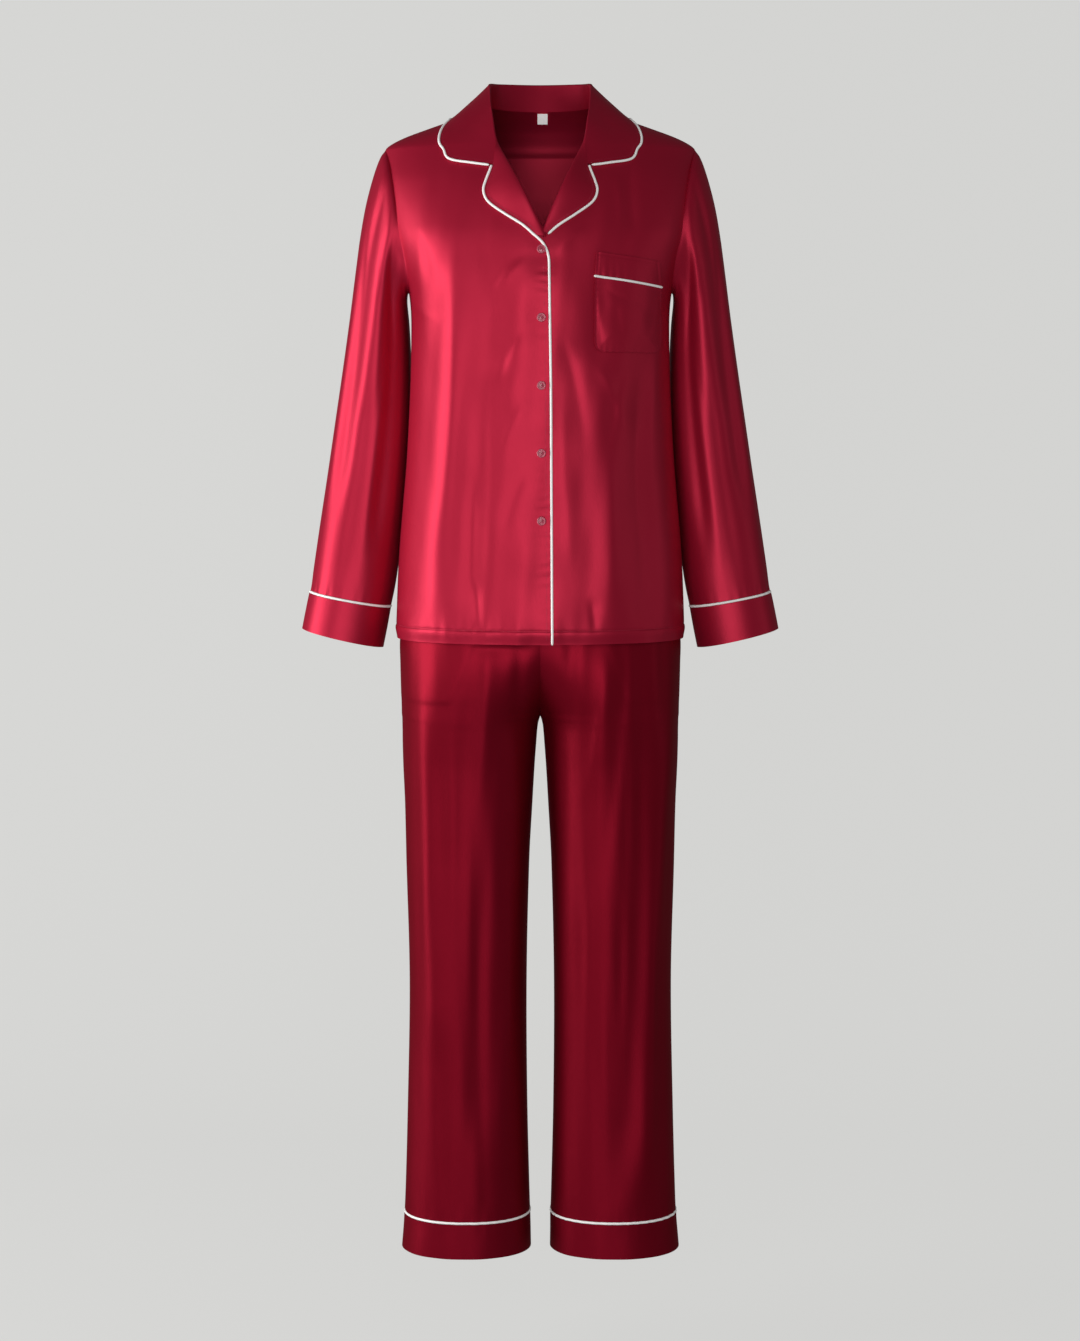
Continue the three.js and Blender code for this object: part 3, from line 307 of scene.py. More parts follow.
# Sleeve, row by row down its length: outer line, underarm line, depth to front and back, the centre's
# depth, and the share of its own form against the armhole's
SLEEVE_KEYS = ("s", "outX", "outZ", "inX", "inZ", "front", "back", "mid", "tube")
SLEEVE = [
    (0, 202, -14, 171, -196, 56, 54, 0, 0),
    (1, 206.5, -22, 174, -196.6, 58, 56, 0, 0.25),
    (2, 214, -32, 176, -200.5, 60, 58, 3, 0.45),
    (3, 221, -54, 175.5, -207, 62, 62, 8, 0.7),
    (4, 229.5, -91, 174.5, -215, 63, 66, 14, 0.9),
    (5, 236, -134, 173, -226, 63, 67, 20, 1),
    (6, 242.5, -180, 171.5, -246, 63, 67, 27, 1),
    (7, 249.5, -232, 170, -282, 62, 66, 32, 1),
    (8, 258.5, -296, 169.5, -330, 60, 64, 34, 1),
    (9, 268, -362, 171.5, -388, 58, 61, 34, 1),
    (10, 277.5, -430, 176, -452, 55, 57, 31, 1),
    (11, 287.5, -500, 182.5, -520, 52, 53, 26, 1),
    (12, 294.5, -552, 189, -571, 49, 50, 20, 1),
    (13, 299, -586, 195.5, -605, 47, 48, 17, 1),
    (13.1, 300.3, -589.6, 196.5, -608.6, 47.5, 48.5, 17, 1),
    (13.8, 305, -612.5, 201, -634, 48, 49, 15, 1),
    (14.5, 309.3, -635.5, 206, -659.5, 47, 48, 13, 1),
]
SLEEVE_END = 13
CUFF_START = 13.1
CUFF_END = 14.5
SLEEVE_ROUND = 2.15
# Folds down the sleeve: start and end as shares of its length, turn at each, width, depth
SLEEVE_FOLDS = [
    (0.1, 0.85, 62, 50, 15, -4.4),
    (0.06, 0.7, 96, 82, 14, 3.6),
    (0.1, 0.9, 118, 112, 13, -4.0),
    (0.1, 0.95, 230, 246, 16, -4.2),
    (0.1, 0.8, 288, 300, 15, -3.6),
]
# Finer creases of the sleeve: hundredths of its length and turn at each end, bow, width, depth
SLEEVE_CREASES = [
    (0, 34, 62, 58, -5, 8, 1.6),
    (0, 52, 40, 76, 4, 7, -1.5),
    (2, 70, 50, 100, -5, 7, 1.4),
    (5, 100, 60, 128, 6, 7, -1.2),
    (25, 40, 98, 32, 5, 9, 1.4),
    (45, 84, 100, 72, -5, 9, -1.5),
    (50, 112, 100, 98, 5, 8, 1.4),
    (30, 150, 95, 140, 5, 9, 1.3),
    (18, 140, 30, 186, 3, 8, 1.4),
    (20, 222, 75, 236, 6, 9, 1.4),
    (10, 262, 90, 276, -6, 9, -1.4),
    (30, 320, 95, 330, 5, 9, 1.3),
]

# Collar, from the back centre to the notch: the roll line, and the outer edge by its angle and height
COLLAR_KEYS = ("s", "rollX", "rollY", "rollZ", "edgeTurn", "edgeZ")
COLLAR = [
    (-0.25, -52, 57, 79.5, 217, 16),
    (0, 0, 77, 81, 180, 15),
    (0.25, 52, 57, 79.5, 143, 16),
    (0.42, 65, 24, 76, 109, 22),
    (0.5, 66, 8, 72, 89, 25),
    (0.56, 65.6, -4, 66, 69, 20.5),
    (0.62, 65, -15, 58, 51.8, 6),
    (0.72, 63.5, -34, 41, 41.2, -15.5),
    (0.84, 60, -55, 20, 36.2, -31.5),
    (0.93, 57.4, -68, 1.5, 26.5, -38),
    (1, 54.4, -76, -11.2, 18.45, -41.5),
]
# Lapel's outer edge, by the share of the roll line
LAPEL_KEYS = ("r", "out", "z")
LAPEL = [
    (0, 58.8, -41.5),
    (0.17, 61.8, -50.5),
    (0.32, 67, -64.5),
    (0.44, 69.4, -76),
    (0.56, 64, -89),
    (0.72, 42, -106),
    (0.86, 20.5, -120.5),
    (1, 4, -135),
]
UNDER_LAPEL_END = 0.96
ROLL = {"radius": 1.9, "reach": 3.9, "rise": 1.5, "start": 0.6}
# How much higher a lapel stands midway down its roll line, and how much further past the edge it starts
LIFTED = {"high": 9, "start": 0.85}
GORGE_GAP = 0.24
# Where the upper front's piping crosses to the front edge: distance out, height, height over the body
CROSSING = [(0.2, -139.5, 5.8), (-4.6, -143.5, 5.7), (-8.3, -149.5, 4.6)]

POCKET = {
    "inner": 66.5, "outer": 152, "topInner": -184, "topOuter": -195, "foot": -279, "corner": 13, "band": 31,
    "wide": 85, "swell": 2.2, "tuck": 0.8,
}
POCKET_CREASES = [
    (72, -196, 86, -276, 4, 7, 1.0),
    (146, -206, 132, -274, -5, 7, 1.0),
    (80, -200, 138, -214, 6, 6, -0.9),
    (96, -212, 104, -270, 4, 8, -0.8),
    (122, -216, 116, -268, -4, 7, 0.7),
]

# Trousers: each leg's centre, half width, depth to front and back, and roundness
LEG_KEYS = ("z", "centre", "half", "front", "back", "round")
LEG = [
    (-455, 0, 134, 97, 92, 2.1),
    (-487, 0, 138, 100, 96, 2.1),
    (-545, 0, 158, 107, 106, 2.2),
    (-600, 6, 168.5, 112, 113, 2.25),
    (-645, 36, 145.3, 110, 111, 2.3),
    (-680, 60, 121, 109, 113, 2.25),
    (-710, 76.5, 103.8, 105.5, 112, 2.2),
    (-735, 86.5, 93.1, 101.3, 108.8, 2.15),
    (-745, 89.1, 90.3, 99.6, 107.1, 2.15),
    (-749, 89.9, 89, 98.9, 106.4, 2.15),
    (-757, 90.9, 87.8, 97.4, 105, 2.15),
    (-766, 91.4, 87.1, 95.9, 103.5, 2.15),
    (-780, 91.9, 86.5, 93.6, 101.3, 2.15),
    (-811, 92.6, 84.9, 89, 97, 2.15),
    (-860, 92.9, 82.3, 84, 92, 2.15),
    (-936, 94, 79.3, 78, 86, 2.15),
    (-1090, 93.7, 75.6, 69, 75, 2.15),
    (-1248, 94.4, 77.2, 64, 69, 2.15),
    (-1389, 94.7, 80.9, 63, 66, 2.15),
    (-1434.5, 96, 83, 63.5, 65, 2.15),
]
# Folds of each leg: side, top, bottom, angle at each, width, depth
LEG_FOLDS = [
    (-1, -560, -1330, 8, -14, 14, -4.0),
    (-1, -600, -1200, 42, 30, 13, 3.4),
    (1, -560, -1380, 30, 6, 13, -4.2),
    (1, -640, -1380, 56, 24, 12, 4.0),
    (-1, -600, -1380, 165, 180, 14, -4.2),
    (1, -600, -1380, 170, 150, 14, -4.2),
]
# Creases of the trousers from in front: x and z at each end, bow, width, depth
LEG_CREASES = [
    (-70, -600, -88, -900, -8, 10, 1.6),
    (-110, -652, 25, -652, 0, 9, -2.2),
    (-60, -640, -66, -830, 6, 12, 2.0),
    (-20, -640, -34, -810, 5, 15, -2.3),
    (-120, -700, -112, -1150, 8, 11, -1.5),
    (-96, -820, -104, -1370, -8, 12, 1.7),
    (-66, -880, -70, -1380, 8, 11, -1.5),
    (-42, -900, -52, -1300, -5, 9, 1.3),
    (-140, -850, -142, -1370, 6, 10, 1.3),
    (40, -560, 30, -720, -5, 9, -1.6),
    (83, -650, 54, -860, -6, 10, 2.1),
    (112, -600, 66, -1000, -8, 11, -1.6),
    (108, -640, 86, -1250, -12, 11, -1.8),
    (124, -700, 112, -1380, 8, 11, 1.7),
    (146, -820, 140, -1300, -5, 10, -1.4),
    (60, -900, 52, -1380, 6, 10, -1.4),
    (88, -950, 92, -1380, -6, 11, 1.4),
]
# The pocket bag that shows faintly through each leg: its height, inner edge and foot
POCKET_BAG = {"z": -677, "inner": 96, "slope": 0.43, "foot": -722, "soft": 8, UPPER: 0.75, UNDER: 0.3}

BUTTON = {
    "radius": 5.6, "thick": 2.6, "rim": 1.5, "dish": 1.2, "centre": 0.4, "holeOut": 1.25, "thread": 0.34,
    "steps": 40, "count": 5, "top": -151.6, "pitch": 84.6, "x": 1.2,
}
LABEL = {"width": 13.5, "height": 11.6, "thick": 0.7, "x": 3, "top": 0.8, "under": 2.0}

body = curves(BODY_KEYS, BODY)
neck_seam = straight(NECK_SEAM)
sleeve = curves(SLEEVE_KEYS, SLEEVE)
collar = curves(COLLAR_KEYS, COLLAR)
lapel = curves(LAPEL_KEYS, LAPEL)
leg = curves(LEG_KEYS, LEG)


# Folds and creases

def fold_height(fold, angle, along):
    """A long fold's height by the angle in degrees and the share of its length, faded at both ends."""
    start, end, wide, deep = fold
    off = (angle - mix(start, end, along) + 180) % 360 - 180
    return deep * ease(along / 0.3) * ease((1 - along) / 0.15) * np.exp(-(off / wide) ** 2)


def creases(u, v, rows):
    """The height of short creases that run between two points, bowed and faded at both ends."""
    total = np.zeros(np.broadcast(u, v).shape)
    for u0, v0, u1, v1, bow, wide, deep in rows:
        du, dv = u1 - u0, v1 - v0
        length = math.hypot(du, dv)
        along = ((u - u0) * du + (v - v0) * dv) / length ** 2
        off = ((u - u0) * dv - (v - v0) * du) / length - 4 * bow * along * (1 - along)
        reach = wide * (0.75 + 0.5 * np.clip(along, 0, 1))
        side = np.where(off * deep > 0, 0.72, 1.25)
        fade = ease(along / 0.35) * ease((1 - along) / 0.4)
        total += deep * fade * np.exp(-np.abs(off / (reach * side)) ** 1.7)
    return total


def ripple(u, v, size_u, size_v, deep, seed):
    """Soft unevenness from a few crossing waves, always the same for a seed."""
    rng = np.random.default_rng(seed)
    total = np.zeros(np.broadcast(u, v).shape)
    for _ in range(6):
        a, b = rng.uniform(0.6, 1.6) / size_u, rng.uniform(-1.2, 1.2) / size_v
        warp = 0.9 * np.sin(v / size_v * rng.uniform(0.5, 1.3) + rng.uniform(0, 6.3))
        total += np.sin(2 * math.pi * (u * a + v * b) + warp + rng.uniform(0, 6.3))
    return deep * total / 6


def pucker(distance, run, reach, pitch, deep, seed):
    """Small uneven puckers that cross a sewn line and die away from it."""
    uneven = 0.6 + 0.4 * np.sin(run / (pitch * 3.7) + seed * 2.1)
    wobble = run + 0.5 * pitch * np.sin(run / (pitch * 2.3) + seed)
    return deep * np.exp(-np.abs(distance) / reach) * uneven * np.sin(2 * math.pi * wobble / pitch)


def groove(distance, wide, deep):
    return -deep * np.exp(-(distance / wide) ** 2)


# The shirt body's surface

def section_point(angle, centre, half, front, back, rounded, z):
    """A point of a rounded section. The angle is 0 at the front and a quarter turn at +X."""
    power = 2 / rounded
    s, c = np.sin(angle), np.cos(angle)
    x = centre + half * np.sign(s) * np.abs(s) ** power
    y = -np.where(c > 0, front, back) * np.sign(c) * np.abs(c) ** power
    return np.stack(np.broadcast_arrays(x, y, z), -1).astype(float)


def normal_of(surface, angle, z):
    across = surface(angle + TURN_STEP, z) - surface(angle - TURN_STEP, z)
    up = surface(angle, z + RISE_STEP) - surface(angle, z - RISE_STEP)
    return unit(np.cross(across, up))


def body_form(angle, z):
    return section_point(angle, 0, *(body[key](z) for key in BODY_KEYS[1:]), z)


def body_middle(angle, z):
    total = sum(fold_height(row[2:], angle / DEG, np.clip((row[0] - z) / (row[0] - row[1]), 0, 1))
                for row in BODY_FOLDS)
    return body_form(angle, z) + normal_of(body_form, angle, z) * total[..., None]


def body_detail(angle, z):
    """Creases, soft unevenness and the hem's stitched line, faded towards the side seams."""
    x = body_form(angle, z)[..., 0]
    seam = ease((np.abs(np.cos(angle)) - 0.02) / 0.3)
    high = ease((SHOULDER_Z + 10 - z) / 60)
    front = np.cos(angle) > 0
    fine = np.where(front, creases(x, z, FRONT_CREASES), creases(x, z, BACK_CREASES))
    soft = ripple(x, z, *RIPPLES["body"]) + ripple(x, z, *RIPPLES["body_fine"])
    total = seam * (fine + high * soft)
    to_stitch = z - SHIRT_HEM_Z - HEM_STITCH
    run = np.sign(np.cos(angle)) * x + 40
    below = np.clip(-to_stitch / HEM_STITCH, 0, 1)
    total = total + 1.1 * np.sin(math.pi * below ** 0.6) - 1.7 * ease(below)
    total = total + groove(to_stitch, 1.6, 0.5) + pucker(to_stitch, run, *PUCKERS["shirt_hem"])
    total = total + seam * ripple(x, z * 0 + 1, *RIPPLES["shirt_hem"]) * ease((-600 - z) / 45)
    beside = np.exp(-((x - 5) / 7) ** 2) * ease((-160 - z) / 20) * front
    total = total + beside * pucker(z * 0, z, *PUCKERS["placket"])
    button_row = np.exp(-(x / 34) ** 2) * ease((-150 - z) / 20) * front
    total = total - button_row * 0.9 * np.cos(2 * math.pi * (z - BUTTON["top"]) / BUTTON["pitch"])
    return total


def on_body(angle, z, over=0.0):
    """A place on the shirt body, that far over the middle of its cloth, and the normal there."""
    angle, z = np.broadcast_arrays(np.asarray(angle, float), np.asarray(z, float))
    normal = normal_of(body_middle, angle, z)
    height = np.asarray(over + body_detail(angle, z))
    return body_middle(angle, z) + normal * height[..., None], normal


def angle_at(x, z):
    share = np.clip(np.abs(x) / body["half"](z), 0, 1)
    return np.sign(x) * np.arcsin(share ** (body["round"](z) / 2))


def rise(side, out):
    """How far the upper front lies over the under one, by the distance out from the centre."""
    if side != UPPER:
        return np.zeros(np.shape(out))
    return OVERLAP["lift"] * (1 - ease((out - OVERLAP["low"]) / (OVERLAP["high"] - OVERLAP["low"])))


def on_front(side, out, z, over=0.0):
    out, z = np.broadcast_arrays(np.asarray(out, float), np.asarray(z, float))
    return on_body(angle_at(side * out, z), z, over + rise(side, out))


def clear_of_body(points, over, side):
    """Moves points outward, softly, until they lie at least that far over the shirt body."""
    z = np.minimum(points[..., 2], NECK_Z - 0.5)
    power = body["round"](z) / 2
    depth = np.where(points[..., 1] < 0, body["front"](z), body["back"](z))
    s = np.sign(points[..., 0]) * (np.abs(points[..., 0]) / body["half"](z)) ** power
    c = -np.sign(points[..., 1]) * (np.abs(points[..., 1]) / depth) ** power
    place, normal = on_body(np.arctan2(s, c), z)
    wanted = (over + rise(side, np.abs(points[..., 0])))[..., None]
    height = dot(points - place, normal)
    bend = SOFTEN * np.logaddexp(0, (height - wanted) / SOFTEN)
    lifted = wanted + bend - SOFTEN * math.log(2) * 0.3
    lifted = np.maximum(lifted, np.maximum(wanted, height))
    low = ease((NECK_Z - 1 - points[..., 2]) / 12)[..., None]
    return points + normal * (lifted - height) * low


# Meshes

def grid_normals(points, ring):
    if ring:
        around = np.roll(points, -1, 1) - np.roll(points, 1, 1)
    else:
        around = np.gradient(points, axis=1)
    down = np.gradient(points, axis=0)
    return unit(np.cross(down, around))


def make_mesh(name, points, faces, material, uv=None):
    mesh = bpy.data.meshes.new(name)
    mesh.from_pydata((np.asarray(points) * MM).tolist(), [], faces)
    if uv is not None:
        layer = mesh.uv_layers.new(name="grain")
        loop_vertex = np.empty(len(mesh.loops), np.int32)
        mesh.loops.foreach_get("vertex_index", loop_vertex)
        layer.data.foreach_set("uv", uv[loop_vertex].astype(np.float32).ravel())
    mesh.validate()
    mesh.polygons.foreach_set("use_smooth", [True] * len(mesh.polygons))
    mesh.set_sharp_from_angle(angle=SHARP)
    mesh.materials.append(material)
    thing = bpy.data.objects.new(name, mesh)
    bpy.context.collection.objects.link(thing)
    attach(thing, "root")
    return thing


def shell_faces(rows, wide, ring):
    """Faces of a closed wall: an outer and an inner layer and the rims between them."""
    layer = rows * wide
    cells = wide if ring else wide - 1
    i, j = np.meshgrid(np.arange(rows - 1), np.arange(cells), indexing="ij")
    i, j = i.ravel(), j.ravel()
    k = (j + 1) % wide

    def at(row, column, inner=0):
        return inner * layer + row * wide + column
    outer = np.stack([at(i, j), at(i + 1, j), at(i + 1, k), at(i, k)], 1)
    inner = np.stack([at(i, j, 1), at(i, k, 1), at(i + 1, k, 1), at(i + 1, j, 1)], 1)
    j = np.arange(cells)
    k = (j + 1) % wide
    top = np.stack([at(0, j), at(0, k), at(0, k, 1), at(0, j, 1)], 1)
    end = rows - 1
    foot = np.stack([at(end, j), at(end, j, 1), at(end, k, 1), at(end, k)], 1)
    parts = [outer, inner, top, foot]
    if not ring:
        i = np.arange(rows - 1)
        w = wide - 1
        parts.append(np.stack([at(i, 0), at(i, 0, 1), at(i + 1, 0, 1), at(i + 1, 0)], 1))
        parts.append(np.stack([at(i, w), at(i + 1, w), at(i + 1, w, 1), at(i, w, 1)], 1))
    return np.concatenate(parts)


def volume_of(points, faces):
    a, b, c, d = (points[faces[:, k]] for k in range(4))
    return (np.einsum("ij,ij->i", a, np.cross(b, c)) + np.einsum("ij,ij->i", a, np.cross(c, d))).sum()


def cloth(name, node, points, material, slot, cut, ring=False, thick=THIN, held="hung"):
    """A thin closed shell round a grid of points, in place of the CAD part, which is hidden."""
    normals = grid_normals(points, ring)
    both = np.concatenate([(points + normals * thick / 2).reshape(-1, 3),
                           (points - normals * thick / 2).reshape(-1, 3)])
    faces = shell_faces(*points.shape[:2], ring)
    if volume_of(both, faces) < 0:
        faces = faces[:, ::-1]
    u = summed(np.linalg.norm(np.diff(points, axis=1), axis=-1).mean(0))
    v = summed(np.linalg.norm(np.diff(points, axis=0), axis=-1).mean(1))
    uv = np.stack(np.meshgrid(u, v), -1).reshape(-1, 2) * MM
    thing = make_mesh(name, both, faces.tolist(), material, np.concatenate([uv, uv]))
    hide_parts(node)


def shirt_cloth(name, node, points, cut, **how):
    cloth(name, node, points, SHIRT, "satin_shirt", cut, **how)


def trouser_cloth(name, node, points, cut, **how):
    cloth(name, node, points, TROUSERS, "satin_trousers", cut, **how)


def ring_faces(count, sides, closed=False):
    """Four-sided faces between neighbouring rings of points."""
    i, k = np.meshgrid(np.arange(count if closed else count - 1), np.arange(sides), indexing="ij")
    i, k = i.ravel(), k.ravel()
    after, onward = (i + 1) % count, (k + 1) % sides
    return np.stack([i * sides + k, i * sides + onward, after * sides + onward, after * sides + k], 1)


def tube(name, points, normals, radius, material, ring=False, sides=10, node=None):
    """A round tube along a path, with narrowed ends or closed into a ring."""
    if ring:
        run = np.roll(points, -1, 0) - np.roll(points, 1, 0)
    else:
        run = np.gradient(points, axis=0)
    run = unit(run)
    across = unit(np.cross(run, normals))
    scale = np.ones(len(points))
    if not ring:
        scale[[0, -1]] = 0.55
    turn = (np.arange(sides) + 0.5) / sides * 2 * math.pi
    circle = circles(across, np.cross(across, run), turn)
    rings = points[:, None] + circle * (radius * scale)[:, None, None]
    count = len(points)
    faces = ring_faces(count, sides, ring).tolist()
    if not ring:
        faces.append(list(range(sides)))
        faces.append([(count - 1) * sides + k for k in reversed(range(sides))])
    lengths = lengths_along(points)
    uv = np.stack(np.broadcast_arrays(turn[None, :] * radius, lengths[:, None]), -1).reshape(-1, 2) * MM
    thing = make_mesh(name, rings.reshape(-1, 3), faces, material, uv)
    if node:
        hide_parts(node)


def piping(node, points, normals, ring=False):
    tube(f"{node}_cord", points, normals, PIPE_RADIUS, PIPING, ring=ring, node=node)


def stitches(name, points, normals):
    """A row of short sewn stitches lying along a path on the shirt."""
    run = lengths_along(points)
    length, radius, sides = STITCH["length"], STITCH["radius"], STITCH["sides"]
    starts = np.arange(0.5, run[-1] - length, STITCH["pitch"])
    place, share = np.array(STITCH_SHAPE).T
    along = starts[:, None] + (place + 0.5)[None, :] * length
    centre = sampled(along, run, points)
    normal = unit(sampled(along, run, normals))
    centre = centre + normal * (radius * (share - 1) - STITCH["sink"])[None, :, None]
    ahead = unit(centre[:, -1:] - centre[:, :1])
    across = unit(np.cross(ahead, normal))
    circle = circles(across, np.cross(across, ahead), around(sides))
    rings = centre[:, :, None] + circle * (radius * share)[None, :, None, None]
    per = len(share) * sides
    first = np.arange(len(starts)) * per
    faces = (ring_faces(len(share), sides)[None] + first[:, None, None]).reshape(-1, 4).tolist()
    for base in first:
        faces.append([base + k for k in range(sides)])
        faces.append([base + per - sides + k for k in reversed(range(sides))])
    thing = make_mesh(name, rings.reshape(-1, 3), faces, RED_THREAD)


def edge_stitches(name, points, outward):
    """Stitches along a grid's last column, a little inside the edge."""
    back = points[:, ::-1]
    step = np.linalg.norm(np.diff(back, axis=1), axis=-1)
    normals = grid_normals(points, False)[:, ::-1]
    line = np.array([sampled(EDGE_STITCH, summed(steps), row) for steps, row in zip(step, back)])
    facing = np.array([sampled(EDGE_STITCH, summed(steps), row) for steps, row in zip(step, normals)])
    normal = unit(facing)
    normal = normal * np.sign(dot(normal, outward))
    stitches(name, line + normal * THIN / 2, normal)


# Materials

def set_inputs(node, inputs):
    """Sets a node's inputs by name, where an underscore stands for a space."""
    for key, value in inputs.items():
        node.inputs[key.replace("_", " ")].default_value = value
    return node


class Look:
    """A material whose textures feed its shader's colour, gloss and relief."""

    def __init__(self, name):
        self.material = bpy.data.materials.new(name)
        self.material.use_nodes = True
        self.nodes = self.material.node_tree.nodes
        self.shader = self.nodes["Principled BSDF"]
        self.relief = None

    def join(self, source, output, target, entry):
        self.material.node_tree.links.new(source.outputs[output], target.inputs[entry])

    def add(self, kind, **inputs):
        return set_inputs(self.nodes.new(kind), inputs)

    def by_place(self, kind, **inputs):
        """A texture laid by the object's own coordinates."""
        texture = self.add(kind, **inputs)
        self.join(self.nodes.new("ShaderNodeTexCoord"), "Object", texture, "Vector")
        return texture

    def by_grain(self, kind, **inputs):
        """A texture laid along the run of the cloth."""
        grain = self.nodes.new("ShaderNodeUVMap")
        grain.uv_map = "grain"
        texture = self.add(kind, **inputs)
        self.join(grain, "UV", texture, "Vector")
        return texture

    def threads(self, way, **inputs):
        lines = self.by_grain("ShaderNodeTexWave", **inputs)
        lines.bands_direction = way
        return lines

    def tones(self, texture, deep, bright, entry="Base Color"):
        """Two colours mixed by a texture."""
        tint = self.nodes.new("ShaderNodeMix")
        tint.data_type = "RGBA"
        set_inputs(tint, {"A": (*deep, 1), "B": (*bright, 1)})
        self.join(texture, "Fac", tint, "Factor")
        self.join(tint, "Result", self.shader, entry)

    def raise_by(self, texture, strength, distance=FINE_RELIEF):
        """Relief from a texture, over any made before."""
        relief = self.add("ShaderNodeBump", Strength=strength, Distance=distance)
        self.join(texture, "Fac", relief, "Height")
        if self.relief:
            self.join(self.relief, "Normal", relief, "Normal")
        self.relief = relief

    def done(self, **inputs):
        """Joins the relief, sets the shader's plain values and hands over the material."""
        if self.relief:
            self.join(self.relief, "Normal", self.shader, "Normal")
        set_inputs(self.shader, inputs)
        return self.material


def satin(name, deep, bright, roughness, metallic, glint):
    """Smooth satin: a fine diagonal weave, slow changes of colour and gloss, soft long highlights."""
    look = Look(name)
    slow = look.by_place("ShaderNodeTexNoise", Scale=9.0, Detail=3.0, Roughness=0.55)
    look.tones(slow, deep, bright)
    weave = look.threads("DIAGONAL", Scale=900, Distortion=1.2)
    slub = look.add("ShaderNodeTexNoise", Scale=260.0, Detail=2.0)
    stretched = look.by_grain("ShaderNodeMapping", Scale=(6, 0.35, 1))
    look.join(stretched, "Vector", slub, "Vector")
    gloss = look.add("ShaderNodeMapRange", To_Min=roughness - 0.04, To_Max=roughness + 0.05)
    look.join(slub, "Fac", gloss, "Value")
    look.join(gloss, "Result", look.shader, "Roughness")
    look.raise_by(weave, 0.05)
    look.raise_by(slub, 0.08, 0.0006)
    return look.done(Metallic=metallic, Specular_IOR_Level=0.4, Specular_Tint=(*glint, 1))


def painted_glow(strength):
    """A painted glow: white cloth given a little light of its own, so that it looks brighter than the lamps
    make it.
    """
    return {"Emission_Color": (1, 0.99, 0.97, 1), "Emission_Strength": strength}


def piping_cloth():
    """White satin cut on the bias round a cord: fine slanting threads and slightly uneven whiteness."""
    look = Look("piping_cloth")
    look.tones(look.add("ShaderNodeTexNoise", Scale=60.0, Detail=2.0), (0.86, 0.84, 0.82), (0.95, 0.94, 0.92))
    look.raise_by(look.threads("DIAGONAL", Scale=420, Distortion=1.5), 0.25)
    # A faint painted glow makes the piping brighter than its light.
    return look.done(Roughness=0.45, Sheen_Weight=0.15, **painted_glow(0.1))


def resin():
    """Glossy dyed resin with a cloudy depth and fine swirls from its mould."""
    look = Look("resin")
    cloud = look.by_place("ShaderNodeTexNoise", Scale=420.0, Detail=4.0, Distortion=1.4)
    look.tones(cloud, (0.34, 0.03, 0.06), (0.62, 0.12, 0.18))
    look.raise_by(cloud, 0.08)
    return look.done(Roughness=0.22, Coat_Weight=0.3)


def thread_cloth(name, colour):
    """Twisted sewing thread."""
    look = Look(name)
    twist = look.by_place("ShaderNodeTexNoise", Scale=2600.0, Detail=1.0)
    look.tones(twist, [c * 0.7 for c in colour], colour)
    look.raise_by(twist, 0.3)
    return look.done(Roughness=0.5)


def tape():
    """Plain white woven tape."""
    look = Look("tape")
    rib = look.threads("Y", Scale=500)
    look.tones(rib, (0.88, 0.87, 0.85), (0.97, 0.96, 0.94))
    look.raise_by(rib, 0.4)
    # A painted glow brightens the label tape, which sits in the shade inside the neck.
    return look.done(Roughness=0.6, **painted_glow(0.3))


def paper():
    """The pale floor and backdrop: matt, with an even light of its own and a faint mottle."""
    look = Look("backdrop_paper")
    mottle = look.add("ShaderNodeTexNoise", Scale=3.0, Detail=2.0)
    look.tones(mottle, (0.985, 0.985, 0.965), (1.0, 1.0, 0.98), "Emission Color")
    return look.done(Emission_Strength=0.62, Base_Color=(0.09, 0.09, 0.088, 1), Roughness=1.0,
                     Specular_IOR_Level=0.0)


SHIRT = satin(
    "satin_shirt", deep=(0.39, 0.007, 0.03), bright=(0.45, 0.011, 0.041),
    roughness=0.45, metallic=0.5, glint=(1.0, 0.55, 0.62))
# The trousers' satin is the shirt's at about half the brightness: partly painted shade for the weaker light
# on the trousers, partly a deeper cloth.
TROUSERS = satin(
    "satin_trousers", deep=(0.20, 0.002, 0.011), bright=(0.24, 0.0035, 0.016),
    roughness=0.47, metallic=0.6, glint=(1.0, 0.2, 0.3))
PIPING = piping_cloth()
RESIN = resin()
RED_THREAD = thread_cloth("red_thread", (0.36, 0.012, 0.045))
TAPE = tape()


# Shirt body

def arm_rows(count):
    turn = np.linspace(0, math.pi, count)
    return turn, mix(UNDERARM_Z, SHOULDER_Z, (1 + np.cos(turn)) / 2)


def lower_heights():
    """Row heights below the arms, closer together at the hem's stitched line and at its edge."""
    plain = np.linspace(UNDERARM_Z - 3.5, SHIRT_HEM_Z + 26, LOWER_ROWS)
    stitch = SHIRT_HEM_Z + HEM_STITCH + np.array([5, 3, 1.6, 0.8, 0, -0.8, -1.6, -3, -5])
    foot = SHIRT_HEM_Z + np.array([9, 6, 3, 1.2, 0.5, 0])
    return np.concatenate([plain, stitch, foot])


def panel_heights(top):
    """All rows of a body panel: heights, and how far the armhole cuts each row back."""
    upper = np.linspace(top, SHOULDER_Z, 26)[:-1]
    turn, arm = arm_rows(ARM_ROWS)
    lower = lower_heights()
    z = np.concatenate([upper, arm, lower])
    reach = np.concatenate([upper * 0, np.abs(np.sin(turn)) ** ARMHOLE["power"], lower * 0])
    return z, reach


def shirt_back():
    z, reach = panel_heights(NECK_Z)
    cut = ARMHOLE["back"] * reach
    seam = math.degrees(GAP / BODY_RADIUS)
    t = np.linspace(0, 1, BACK_COLUMNS)[None, :]
    start = (270 - cut - seam)[:, None]
    end = (90 + cut + seam)[:, None]
    angle = mix(start, end, t) * DEG
    points, _ = on_body(angle, z[:, None] + 0 * t)
    shirt_cloth("back_panel", "shirt_back", points, "back")


